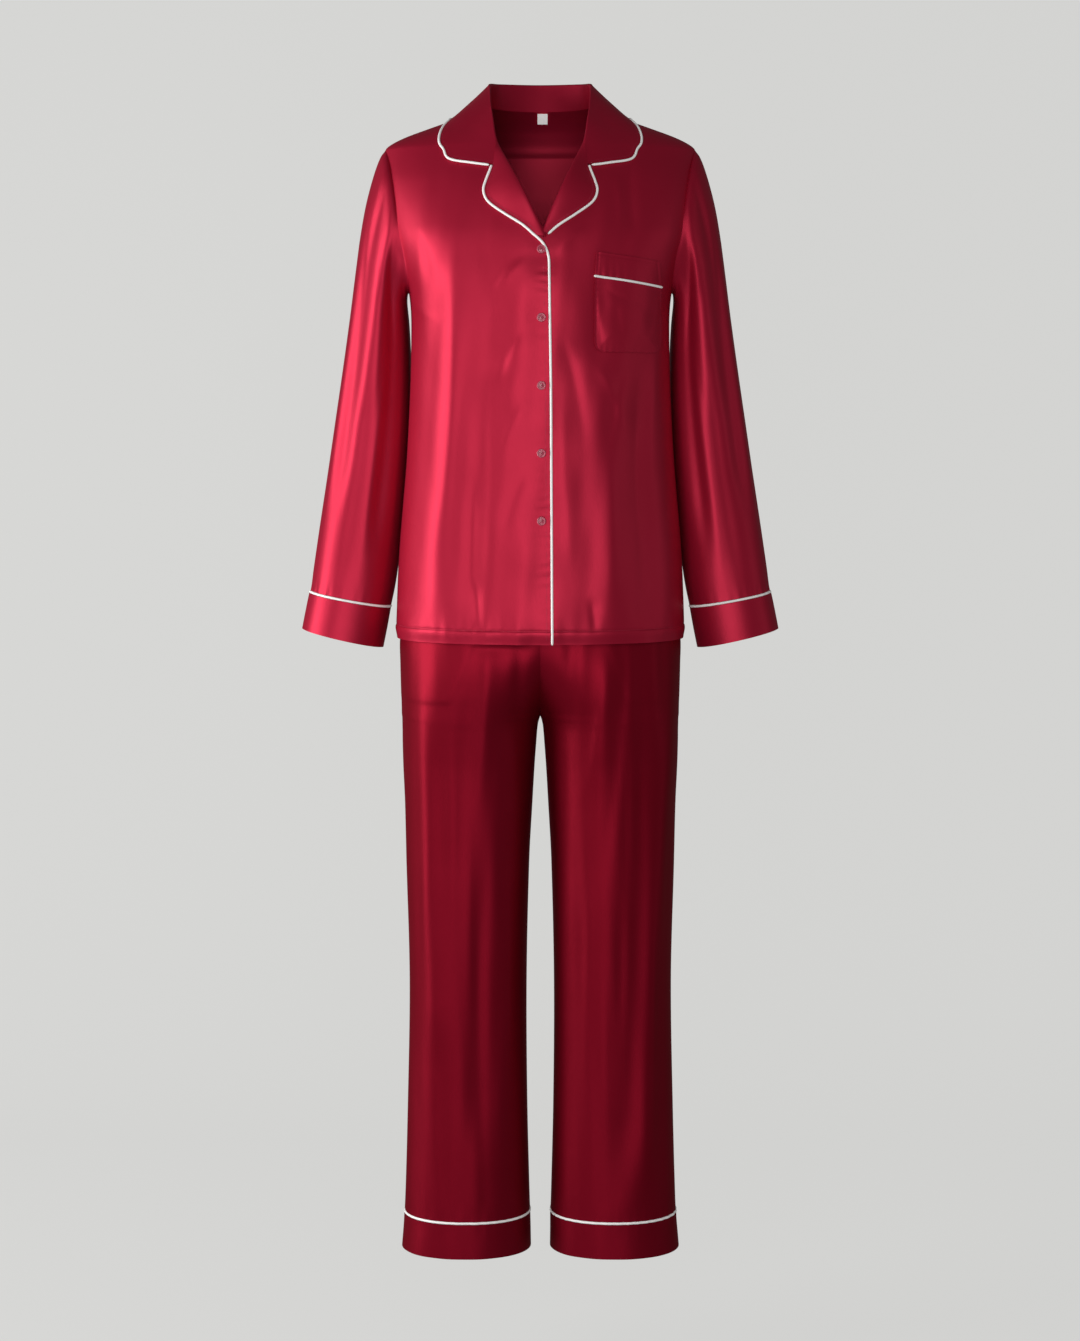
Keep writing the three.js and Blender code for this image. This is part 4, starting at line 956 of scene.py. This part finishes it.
def front_rows(side):
    z, reach = panel_heights(NECK_Z - 2)
    out = np.where(z > SHOULDER_Z, neck_seam(z), FRONT_EDGE[side](z))
    start = angle_at(side * out, z)
    end = side * (90 - ARMHOLE["front"] * reach - math.degrees(GAP / BODY_RADIUS)) * DEG
    return z, start, end


def shirt_front(side, name, node):
    z, start, end = front_rows(side)
    t = np.linspace(0, 1, FRONT_COLUMNS)
    t = np.sort(np.concatenate([t, [0.002, 0.006]]))[None, :]
    angle = mix(start[:, None], end[:, None], t)
    height = z[:, None] + 0 * t
    out = side * body_form(angle, height)[..., 0]
    over = rise(side, out)
    edge = np.abs(out - FRONT_EDGE[side](height))
    lower = ease((BREAK_Z - height) / 30)
    over = over + lower * pucker(edge, height, *PUCKERS["front_edge"])
    points, _ = on_body(angle, height, over)
    shirt_cloth(name, node, points, "front")


# Sleeves

def armhole(side, turn):
    """Places on the armhole, from the shoulder round by the front, and the way outward along the cloth."""
    def place(t):
        z = mix(UNDERARM_Z, SHOULDER_Z, (1 + np.cos(t)) / 2)
        reach = np.abs(np.sin(t)) ** ARMHOLE["power"]
        cut = np.where(np.sin(t) > 0, -ARMHOLE["front"], ARMHOLE["back"]) * reach
        return side * (90 + cut) * DEG, z
    at, normal = on_body(*place(turn))
    tangent = on_body(*place(turn + ARM_STEP))[0] - on_body(*place(turn - ARM_STEP))[0]
    return at, unit(np.cross(normal, tangent)) * side


def sleeve_points(side, s, turns):
    """Rings of the sleeve and its cuff."""
    s, turn = np.broadcast_arrays(s[:, None], turns[None, :])
    power = 2 / SLEEVE_ROUND
    c = np.sign(np.cos(turn)) * np.abs(np.cos(turn)) ** power
    q = np.sign(np.sin(turn)) * np.abs(np.sin(turn)) ** power
    zero = np.zeros(s.shape)
    mid = sleeve["mid"](s)
    outer = np.stack([side * sleeve["outX"](s), mid, sleeve["outZ"](s)], -1)
    inner = np.stack([side * sleeve["inX"](s), mid, sleeve["inZ"](s)], -1)
    point = mix(inner, outer, ((1 + c) / 2)[..., None])
    depth = np.where(q > 0, sleeve["front"](s), sleeve["back"](s))
    point = point - np.stack([zero, depth * q, zero], -1)
    share = np.clip(s / SLEEVE_END, 0, 1)
    degrees = turn / DEG
    folds = sum(fold_height(row[2:], degrees, np.clip((share - row[0]) / (row[1] - row[0]), 0, 1))
                for row in SLEEVE_FOLDS)
    fine = sum(creases(share * 100, degrees + whole, SLEEVE_CREASES) for whole in (0, 360))
    soft = ripple(np.sin(turn) * SLEEVE_RADIUS, share * SLEEVE_LENGTH, *RIPPLES["sleeve"])
    head = ease(share / 0.06)
    to_cuff = np.minimum(np.abs(share - 1) * SLEEVE_LENGTH, 40)
    band = pucker(to_cuff, degrees * 0.9, *PUCKERS["above_cuff"]) * (s <= SLEEVE_END)
    cuff = ripple(degrees * 0.9, share * 0 + 2, *RIPPLES["cuff"]) * (s > SLEEVE_END)
    gather = pucker(share * SLEEVE_LENGTH, degrees * 1.2, *PUCKERS["sleeve_head"])
    gather = gather * ease(np.cos(turn) + 0.6)
    total = folds + head * (fine + soft) + band + cuff + gather
    radial = unit(point - (inner + outer) / 2)
    point = point + radial * total[..., None]
    start, outward = armhole(side, turns)
    start = (start + outward * GAP / 2)[None]
    tube_share = sleeve["tube"](s)[..., None]
    return mix(start, point, np.clip(tube_share, 0, 1))


def sleeve_piece(side, word):
    s = np.concatenate([
        [0, 0.06], np.linspace(0.15, 4, 44), np.linspace(4.07, SLEEVE_END - 0.02, 128),
        [SLEEVE_END - 0.008, SLEEVE_END]])
    points = sleeve_points(side, s, around(SLEEVE_AROUND))
    shirt_cloth(f"sleeve_{word}_cloth", f"sleeve_{word}", points, "sleeve", ring=True)


def cuff_piece(side, word):
    s = np.concatenate([
        [CUFF_START, CUFF_START + 0.01], np.linspace(CUFF_START + 0.05, CUFF_END - 0.05, 26),
        [CUFF_END - 0.01, CUFF_END]])
    points = sleeve_points(side, s, around(SLEEVE_AROUND))
    shirt_cloth(f"cuff_{word}_cloth", f"cuff_{word}", points, "cuff", ring=True, thick=CUFF_WALL)


def ring_piping(node, above, below):
    middle = (above + below) / 2
    piping(node, middle, unit(middle - middle.mean(0)), ring=True)


def cuff_piping(side, word):
    rings = sleeve_points(side, np.array([SLEEVE_END, CUFF_START]), around(PIPING_AROUND))
    ring_piping(f"piping_cuff_{word}", *rings)


# Collar and lapels

def collar_out(normal, s):
    lying = ease((s - 0.6) / 0.4)
    return unit(np.stack([normal[..., 0], normal[..., 1], normal[..., 2] * lying], -1))


def neck_place(side, s):
    """The neck seam, the collar's outward way there and the way up from the seam."""
    def on(share):
        z = np.where(share <= 0.5, NECK_Z, mix(NECK_Z, SHOULDER_Z, (share - 0.5) * 2))
        angle = np.where(share <= 0.5, side * (1 - share) * math.pi, angle_at(side * neck_seam(z), z))
        return on_body(angle, z)
    at, normal = on(s)
    tangent = on(np.minimum(s + NECK_STEP, 1))[0] - on(s - NECK_STEP)[0]
    out = collar_out(normal, s)
    halved = unit(normal + out)
    away = unit(np.cross(tangent, halved))
    away = away * np.where(away[..., 2:] < 0, -1, 1)
    return at, out, away


def turned(seam, top, out, edge, side, count=30, swell=0.0):
    """Sections of turned cloth: up from the seam, over the roll and down to the edge, clear of the body."""
    along = top - seam
    up = unit(along - out * dot(along, out))
    radius = ROLL["radius"]
    centre = top - up * radius
    before, after = centre - out * radius, centre + out * radius
    rise_t = np.linspace(0, 1, 12)[None, :, None]
    stand = mix(seam[:, None], before[:, None], rise_t)[:, :-1]
    arc = np.linspace(-math.pi / 2, math.pi / 2, 11)[None, :, None]
    roll = centre[:, None] + radius * (out[:, None] * np.sin(arc) + up[:, None] * np.cos(arc))
    t = np.concatenate([np.linspace(0, 0.97, count), [0.985, 1]])[None, 1:, None]
    fall = mix(after[:, None], edge[:, None], t)
    normal = unit(np.cross(np.gradient(after, axis=0), edge - after))
    normal = normal * np.sign(dot(normal, out))
    bulge = swell * np.linalg.norm(edge - after, axis=-1)[:, None, None] * np.sin(math.pi * t ** 0.65)
    fall = clear_of_body(fall + normal[:, None] * bulge, LAID, side)
    return np.concatenate([stand, roll, fall], 1)


def lapel_section(side, r):
    z = mix(SHOULDER_Z, BREAK_Z, r)
    at, normal = on_front(side, FRONT_EDGE[side](z), z)
    tangent = on_front(side, FRONT_EDGE[side](z - 1), z - 1)[0] - at
    inward = unit(np.cross(normal, tangent))
    inward = inward * np.where(inward[..., :1] * side > 0, -1, 1)
    lifted = (np.sin(math.pi * r) ** 2)[:, None]
    seam = at + inward * (ROLL["start"] + LIFTED["start"] * lifted)
    top = at + inward * ROLL["reach"] + normal * (ROLL["rise"] + LIFTED["high"] * lifted)
    edge, _ = on_front(side, lapel["out"](r), lapel["z"](r), LAID)
    return seam, top, normal, edge


def across_gorge(side):
    """From the lapel to the collar, square to the line where they meet."""
    _, top, normal, edge = lapel_section(side, np.zeros(1))
    way = unit(np.cross(edge - top, normal))
    return way * np.sign(way[..., :1] * side) * GORGE_GAP / 2


def collar_half(side, s):
    at, out, away = neck_place(side, s)
    seam = at + away * GAP / 2
    top = np.stack([side * collar["rollX"](s), collar["rollY"](s), collar["rollZ"](s)], -1)
    edge, _ = on_body(side * collar["edgeTurn"](s) * DEG, collar["edgeZ"](s), LAID)
    l_seam, l_top, l_out, l_edge = lapel_section(side, np.zeros(1))
    last = ease((s - 0.9) / 0.1)[:, None]
    seam, top = mix(seam, l_seam, last), mix(top, l_top, last)
    out, edge = unit(mix(out, l_out, last)), mix(edge, l_edge, last)
    shift = across_gorge(side) * last
    return seam + shift, top + shift, out, edge + shift


def collar_piece():
    s = np.concatenate([np.linspace(0, 0.97, 130), [0.98, 0.99, 0.996, 1]])
    halves = [collar_half(side, s) for side in (-1, 1)]
    joined = [np.concatenate([left[::-1], right[1:]]) for left, right in zip(*halves)]
    seam, top, out, edge = joined
    points = turned(seam, top, out, edge, 0, 34)
    edge_stitches("stitches_collar", points, out)
    shirt_cloth("collar_cloth", "collar", points, "collar", held="folded")


def lapel_piece(side, end, word):
    r = np.concatenate([[0, 0.006, 0.015], np.linspace(0.03, 0.985, 70), [1]]) * end
    seam, top, out, edge = lapel_section(side, r)
    points = turned(seam, top, out, edge, side, swell=0.05)
    points = points - across_gorge(side) * (1 - ease(r / 0.02))[:, None, None]
    edge_stitches(f"stitches_lapel_{word}", points, out)
    shirt_cloth(f"lapel_{word}_cloth", f"lapel_{word}", points, "lapel", held="folded")


# Piping

def beyond(points, normals, way):
    """Moves a line of places past the edge that they lie on, square to its run."""
    run = unit(np.gradient(points, axis=0))
    out = unit(np.cross(run, normals))
    out = out * np.where(dot(out, way) < 0, -1, 1)
    return points + out * PIPE_SET


def collar_piping():
    s = np.linspace(0, 0.99, 140)
    lines = []
    for side in (-1, 1):
        lines.append(on_body(side * collar["edgeTurn"](s) * DEG, collar["edgeZ"](s), PIPE_LAID))
    points = np.concatenate([lines[0][0][::-1], lines[1][0][1:]])
    normals = np.concatenate([lines[0][1][::-1], lines[1][1][1:]])
    path = beyond(points, normals, points - np.array([0, -20, 80]))
    piping("piping_collar", path, normals)


def lapel_edge(side, end):
    r = np.linspace(0.045, end, 60)
    points, normals = on_front(side, lapel["out"](r), lapel["z"](r), PIPE_LAID)
    return beyond(points, normals, np.array([side, 0, -0.5])), normals


def front_piping():
    points, normals = lapel_edge(UPPER, 1)
    out, z, over = np.array(CROSSING).T
    cross, cross_normals = on_body(angle_at(-out, z), z, over)
    heights = np.concatenate([np.linspace(-158, SHIRT_HEM_Z + 1, 150), [SHIRT_HEM_Z]])
    over = pucker(0, heights, *PUCKERS["front_edge"])
    edge, edge_normals = on_front(UPPER, FRONT_EDGE[UPPER](heights), heights, over)
    edge = beyond(edge, edge_normals, np.array([1.0, 0, 0]))
    path = np.concatenate([points, cross, edge])
    piping("piping_front", smoothed(path), np.concatenate([normals, cross_normals, edge_normals]))


def smoothed(path):
    path = path.copy()
    for _ in range(SMOOTHING_ROUNDS):
        path[1:-1] = (path[:-2] + 2 * path[1:-1] + path[2:]) / 4
    return path


def lapel_piping():
    piping("piping_lapel_left", *lapel_edge(UNDER, UNDER_LAPEL_END))


# Pocket

def pocket_seam_z(out):
    share = (out - POCKET["inner"]) / (POCKET["outer"] - POCKET["inner"])
    return mix(POCKET["topInner"], POCKET["topOuter"], share)


def pocket_place(u, v):
    """A place on the pocket by its shares across and down, drawn in at the rounded lower corners."""
    plain = mix(POCKET["inner"] + 1, POCKET["outer"] - 1, u)
    z = mix(pocket_seam_z(plain) - PIPE_SET, POCKET["foot"], v)
    low = np.maximum(POCKET["foot"] + POCKET["corner"] - z, 0)
    drawn = POCKET["corner"] - np.sqrt(np.maximum(POCKET["corner"] ** 2 - low ** 2, 0))
    drawn = drawn * POCKET["tuck"]
    return mix(POCKET["inner"] + 1 + drawn, POCKET["outer"] - 1 - drawn, u), z


def dense(count):
    """Shares from 0 to 1, closer together at both ends."""
    plain = np.linspace(0, 1, count)
    return np.sort(np.concatenate([plain, [0.004, 0.012, 0.988, 0.996]]))


def pocket_relief(u, v, out, z):
    """How far the pocket stands over its plain place: soft fullness, creases and a sewn rim."""
    aside, below = np.minimum(u, 1 - u) * POCKET["wide"], (1 - v) * POCKET["wide"]
    rim = np.minimum(aside, below)
    swell = POCKET["swell"] * ease(rim / 24)
    run = np.where(aside < below, z, out)
    sewn = pucker(rim, run, *PUCKERS["pocket"]) + groove(rim - 2.2, 0.9, 0.35)
    return swell + creases(out, z, POCKET_CREASES) + sewn


def pocket_piece():
    u, v = np.meshgrid(dense(56), dense(56))
    out, z = pocket_place(u, v)
    points, _ = on_front(UNDER, out, z, LAID + pocket_relief(u, v, out, z))
    shirt_cloth("pocket_cloth", "pocket", points, "pocket", held="laid")
    near, far = 0.025, 0.975
    u = np.concatenate([np.full(40, near), np.linspace(near, far, 60), np.full(40, far)])
    v = np.concatenate([np.linspace(0.02, far, 40), np.full(60, far), np.linspace(far, 0.02, 40)])
    out, z = pocket_place(u, v)
    path, normals = on_front(UNDER, out, z, LAID + THIN / 2 + pocket_relief(u, v, out, z))
    stitches("stitches_pocket", path, normals)


def pocket_band():
    u, v = np.meshgrid(dense(56), dense(22))
    inner = mix(POCKET["inner"] + 1, POCKET["inner"] + 3, v)
    outer = mix(POCKET["outer"] - 1, POCKET["outer"] - 3, v)
    out = mix(inner, outer, u)
    z = pocket_seam_z(out) + mix(PIPE_SET, POCKET["band"], v)
    rim = np.minimum(u, 1 - u) * POCKET["wide"]
    over = LAID + 1.9 * ease(rim / 16) * (1 - 0.75 * v) + pucker(v * 30, out, *PUCKERS["pocket_band"])
    over = over + groove(rim - 3, 0.8, 0.5) + groove((1 - v) * 30 - 3, 0.9, 0.3)
    points, _ = on_front(UNDER, out, z, over)
    shirt_cloth("pocket_band_cloth", "pocket_band", points, "pocket_band", held="laid",
                thick=POCKET_BAND_WALL)


def pocket_piping():
    out = np.linspace(POCKET["inner"], POCKET["outer"], 60)
    over = PIPE_LAID + 0.8 * ease(np.minimum(out - 67, 151 - out) / 20)
    piping("piping_pocket", *on_front(UNDER, out, pocket_seam_z(out), over))


# Label

def neck_label():
    u, v = np.meshgrid(np.linspace(0, 1, 14), np.linspace(0, 1, 16))
    z = NECK_Z - LABEL["top"] - v * LABEL["height"]
    x = LABEL["x"] + (u - 0.5) * LABEL["width"]
    over = -LABEL["under"] - 0.5 * np.sin(v * math.pi)
    points, _ = on_body(math.pi - angle_at(x, z), z, over)
    cloth("label_cloth", "neck_label", points, TAPE, "label", "label", thick=LABEL["thick"])


# Buttons

def button_profile():
    """A button's section from the back's centre round the rim to the face's: radius and height."""
    half, radius = BUTTON["thick"] / 2, BUTTON["radius"]
    groove_at, dish = radius - BUTTON["rim"], half - BUTTON["dish"]
    return [
        (0.01, -half), (radius - 0.9, -half), (radius - 0.2, -half + 0.35), (radius, -0.2), (radius, 0.45),
        (radius - 0.25, half - 0.3), (radius - 0.7, half), (groove_at + 0.2, half - 0.1),
        (groove_at - 0.1, half - 0.6), (groove_at - 0.4, dish), (groove_at - 1, dish),
        (groove_at - 1.6, dish + 0.35), (0.01, dish + BUTTON["centre"]),
    ]


def buttons():
    profile = button_profile()
    steps = BUTTON["steps"]
    faces = ring_faces(len(profile), steps).tolist()
    faces.append(list(reversed(range(steps))))
    faces.append([(len(profile) - 1) * steps + j for j in range(steps)])
    for k in range(BUTTON["count"]):
        z = BUTTON["top"] - k * BUTTON["pitch"]
        at, normal = on_front(UPPER, -BUTTON["x"], z, THIN / 2 + 0.5 + BUTTON["thick"] / 2)
        normal = normal.reshape(3)
        side = unit(np.cross([0, 0, 1], normal))
        up = np.cross(normal, side)
        points = [at + side * r * math.cos(a) + up * r * math.sin(a) + normal * h
                  for r, h in profile for a in around(steps)]
        disc = make_mesh(f"button_{k + 1}_disc", np.array(points), faces, RESIN)
        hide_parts(f"button_{k + 1}")
        button_thread(k, at, normal, side, up, profile[-1][1])


def button_thread(k, at, normal, side, up, face):
    """The two crossed threads that hold a button."""
    slant = 0.2 * ((k % 3) - 1)
    for n, (a, b) in enumerate((((-1, -1), (1, 1)), ((-1, 1), (1, -1)))):
        t = np.linspace(-1, 1, 13)[:, None]
        start = side * a[0] + up * a[1]
        end = side * b[0] + up * b[1]
        line = at + mix(start, end, (t + 1) / 2) * BUTTON["holeOut"] + side * slant
        line = line + normal * (face - 0.15 + 0.5 * (1 - t ** 4) + 0.1 * n)
        facing = np.repeat(normal[None], 13, 0) + side * 0.01
        tube(f"thread_{k + 1}_{n + 1}", line, facing, BUTTON["thread"], RED_THREAD, sides=7)


# Trousers

def leg_form(side):
    def form(angle, z):
        return section_point(angle, side * leg["centre"](z), *(leg[key](z) for key in LEG_KEYS[2:]), z)
    return form


def leg_surface(side):
    form = leg_form(side)

    def middle(angle, z):
        total = 0
        for row in LEG_FOLDS:
            if row[0] == side:
                along = np.clip((row[1] - z) / (row[1] - row[2]), 0, 1)
                total = total + fold_height(row[3:], side * angle / DEG, along)
        return form(angle, z) + normal_of(form, angle, z) * total[..., None]
    return middle


def inner_angle(z):
    share = np.clip(leg["centre"](z) / leg["half"](z), 0, 1)
    return np.where(z <= CROTCH_Z, -math.pi / 2, -np.arcsin(share ** (leg["round"](z) / 2)))


def leg_pucker(side, angle, z):
    return pucker(z - LEG_PIPING_Z, angle * LEG_RADIUS, *LEG_PUCKER, LEG_PUCKER_SEED + side)


def leg_detail(side, angle, z, front):
    """Creases, gathers, the puckers at the piping and the pocket bag that shows through the front."""
    x = leg_form(side)(angle, z)[..., 0]
    seam = ease(np.abs(np.cos(angle)) / 0.3)
    mirrored = np.where(front, x, -x * 0.96 + 4)
    fine = creases(mirrored, z, LEG_CREASES)
    soft = ripple(mirrored, z, *RIPPLES["leg"]) + ripple(mirrored, z, *RIPPLES["leg_fine"])
    fade = ease((z - LEG_PIPING_Z) / 30)
    total = seam * fade * (fine + soft)
    gathers = pucker(z - WAIST_SEAM_Z, angle * WAIST_RADIUS, *PUCKERS["below_waist"])
    total = total + 1.3 * fade * gathers * ease((z + 640) / 120)
    total = total + leg_pucker(side, angle, z)
    bag = POCKET_BAG
    edge = bag["inner"] + (bag["z"] - z) * bag["slope"]
    inside = np.minimum((side * x - edge) * 2, z - bag["foot"])
    shows = ease(inside / bag["soft"] + 0.5) * ease(np.abs(np.cos(angle)) / 0.2)
    return total + front * bag[side] * shows


def trouser_panel(side, way, name, node):
    z = np.concatenate([
        np.linspace(WAIST_SEAM_Z - GAP, -640, 50), np.linspace(-643, -728, 34),
        np.linspace(-730, -748.5, 20), [CROTCH_Z], np.linspace(-751, -800, 20),
        np.linspace(-803, LEG_PIPING_Z + PIPE_SET + 3, 130),
        LEG_PIPING_Z + PIPE_SET + np.array([1.5, 0.6, 0])])
    inner = inner_angle(z)
    start = inner if way < 0 else math.pi - inner
    columns = FRONT_LEG_COLUMNS if way < 0 else BACK_LEG_COLUMNS
    t = np.sort(np.concatenate([np.linspace(0, 1, columns), [0.004, 0.996]]))[None, :]
    angle = side * mix(start[:, None], math.pi / 2, t)
    height = z[:, None] + 0 * t
    surface = leg_surface(side)
    normal = normal_of(surface, angle, height)
    points = surface(angle, height)
    total = leg_detail(side, angle, height, way < 0)
    near_rise = mix(1, ease(np.abs(points[..., 0]) / 26), ease((height - CROTCH_Z + 60) / 60))
    points = points + normal * (total * near_rise)[..., None]
    on_rise = height > CROTCH_Z
    clear = side * np.maximum(side * points[..., 0], GAP / 2 + THIN * 0.3 * t)
    points[..., 0] = np.where(on_rise, clear, points[..., 0])
    points[:, -1, 1] += way * GAP / 2
    points[:, 0, 1] += way * GAP / 2 * (z <= CROTCH_Z)
    trouser_cloth(name, node, points, "leg")


def waistband():
    z = np.array([
        WAIST_TOP_Z, WAIST_TOP_Z - 0.8, *np.linspace(WAIST_TOP_Z - 3, WAIST_SEAM_Z + 3, 16),
        WAIST_SEAM_Z + 0.8, WAIST_SEAM_Z + GAP])
    angle, height = np.meshgrid(around(WAIST_AROUND), z)
    form = leg_form(1)
    normal = normal_of(form, angle, height)
    gathers = sum(pucker(height * 0, angle * WAIST_RADIUS, *PUCKERS[key])
                  for key in ("waistband", "waistband_fine"))
    share = (height - WAIST_TOP_Z) / (WAIST_SEAM_Z - WAIST_TOP_Z)
    bands = 0.7 * np.sin(share * 3 * math.pi) ** 2
    points = form(angle, height) + normal * (gathers + bands - 0.4)[..., None]
    trouser_cloth("waistband_cloth", "waistband", points, "waistband", ring=True, thick=BAND, held="gathered")


def leg_ring(side, z, turns):
    angle, height = np.meshgrid(turns, np.atleast_1d(z))
    surface = leg_surface(side)
    total = leg_pucker(side, angle, height)
    soft = ripple(np.sin(angle) * CUFF_RADIUS, height * 0 + side, *RIPPLES["leg_cuff"])
    total = total + soft * ease((LEG_PIPING_Z - height) / 30)
    return surface(angle, height) + normal_of(surface, angle, height) * total[..., None]


def leg_cuff(side, word):
    top = LEG_PIPING_Z - PIPE_SET
    z = np.array([
        top, top - 0.6, *np.linspace(top - 2.5, LEG_HEM_Z + 2.5, 20), LEG_HEM_Z + 0.6, LEG_HEM_Z])
    points = leg_ring(side, z, around(LEG_CUFF_AROUND))
    trouser_cloth(f"leg_cuff_{word}_cloth", f"leg_cuff_{word}", points, "leg_cuff", ring=True,
                  thick=CUFF_WALL)


def leg_piping(side, word):
    rings = leg_ring(side, [LEG_PIPING_Z + PIPE_SET, LEG_PIPING_Z - PIPE_SET], around(PIPING_AROUND))
    ring_piping(f"piping_leg_{word}", *rings)


# Sewing

def placket_stitches():
    """The line of stitches beside the front edge."""
    z = np.linspace(-172, SHIRT_HEM_Z + 4, 420)
    out = FRONT_EDGE[UPPER](z) + PLACKET_STITCH
    points, normals = on_front(UPPER, out, z, THIN / 2)
    stitches("stitches_placket", points, normals)


def hem_stitches():
    """The hem's line of stitches, which climbs with the upper front where the fronts overlap."""
    for word, start, end in (("front", -90, 90), ("back", 90, 270)):
        angle = np.linspace(start, end, 400) * DEG
        z = np.full(angle.shape, SHIRT_HEM_Z + HEM_STITCH, float)
        x = body_form(angle, z)[:, 0]
        over = THIN / 2 + (rise(UPPER, -x) * (x < 13) if word == "front" else 0)
        stitches(f"stitches_hem_{word}", *on_body(angle, z, over))


# Floor, light and camera

def backdrop():
    """A pale floor that curves up into a backdrop."""
    low, far, turn = BACKDROP["floor"], BACKDROP["far"], BACKDROP["turn"]
    half, steps = BACKDROP["half"], BACKDROP["steps"]
    profile = [(-half, low), (far - turn, low)]
    for k in range(1, steps + 1):
        a = k / steps * math.pi / 2
        profile.append((far - turn + turn * math.sin(a), low + turn - turn * math.cos(a)))
    profile.append((far, BACKDROP["top"]))
    points = [(x, y, z) for y, z in profile for x in (-half, half)]
    faces = [[2 * i, 2 * i + 1, 2 * i + 3, 2 * i + 2] for i in range(len(profile) - 1)]
    mesh = bpy.data.meshes.new("backdrop")
    mesh.from_pydata(points, [], faces)
    mesh.polygons.foreach_set("use_smooth", [True] * len(mesh.polygons))
    mesh.materials.append(paper())
    thing = bpy.data.objects.new("backdrop", mesh)
    thing.visible_diffuse = False
    thing.visible_glossy = False
    bpy.context.collection.objects.link(thing)


def area_light(name, place, aim, size, power):
    lamp = bpy.data.lights.new(name, "AREA")
    lamp.shape = "RECTANGLE"
    lamp.size, lamp.size_y = size
    lamp.energy = power
    thing = bpy.data.objects.new(name, lamp)
    thing.location = place
    thing.rotation_euler = (Vector(aim) - Vector(place)).to_track_quat("-Z", "Y").to_euler()
    bpy.context.collection.objects.link(thing)


def light():
    """Large soft lights at the left and in front, a weak one at the right, a little from all round."""
    world = bpy.data.worlds.new("studio")
    world.use_nodes = True
    set_inputs(world.node_tree.nodes["Background"], {"Color": (1, 1, 1, 1), "Strength": ALL_ROUND_LIGHT})
    bpy.context.scene.world = world
    for row in LIGHTS:
        area_light(*row)


def camera():
    """A level camera whose frame is shifted until the level line stands where it does in the photo."""
    scale = PHOTO["mm_per_px"]
    data = bpy.data.cameras.new("camera")
    data.sensor_fit = "VERTICAL"
    data.sensor_height = SENSOR
    data.sensor_width = SENSOR
    data.lens = SENSOR * CAMERA_AWAY / (PHOTO["high"] * scale)
    data.shift_y = -(PHOTO["high"] / 2 - PHOTO["horizon_y"]) / PHOTO["high"]
    data.clip_start, data.clip_end = 0.1, 60
    thing = bpy.data.objects.new("camera", data)
    x = (PHOTO["wide"] / 2 - PHOTO["centre_x"]) * scale
    z = (PHOTO["origin_y"] - PHOTO["horizon_y"]) * scale
    thing.location = (x * MM, -CAMERA_AWAY * MM, z * MM)
    thing.rotation_euler = (math.pi / 2, 0, 0)
    bpy.context.collection.objects.link(thing)
    bpy.context.scene.camera = thing
    bpy.context.scene.view_settings.view_transform = "Standard"


camera()
backdrop()
light()
shirt_back()
shirt_front(UPPER, "front_right_panel", "shirt_front_right")
shirt_front(UNDER, "front_left_panel", "shirt_front_left")
collar_piece()
lapel_piece(UPPER, 1, "right")
lapel_piece(UNDER, UNDER_LAPEL_END, "left")
pocket_piece()
pocket_band()
pocket_piping()
neck_label()
buttons()
collar_piping()
front_piping()
lapel_piping()
hem_stitches()
placket_stitches()
for side, word in ((-1, "right"), (1, "left")):
    sleeve_piece(side, word)
    cuff_piece(side, word)
    cuff_piping(side, word)
    trouser_panel(side, -1, f"front_leg_{word}", f"trouser_front_{word}")
    trouser_panel(side, 1, f"back_leg_{word}", f"trouser_back_{word}")
    leg_cuff(side, word)
    leg_piping(side, word)
waistband()
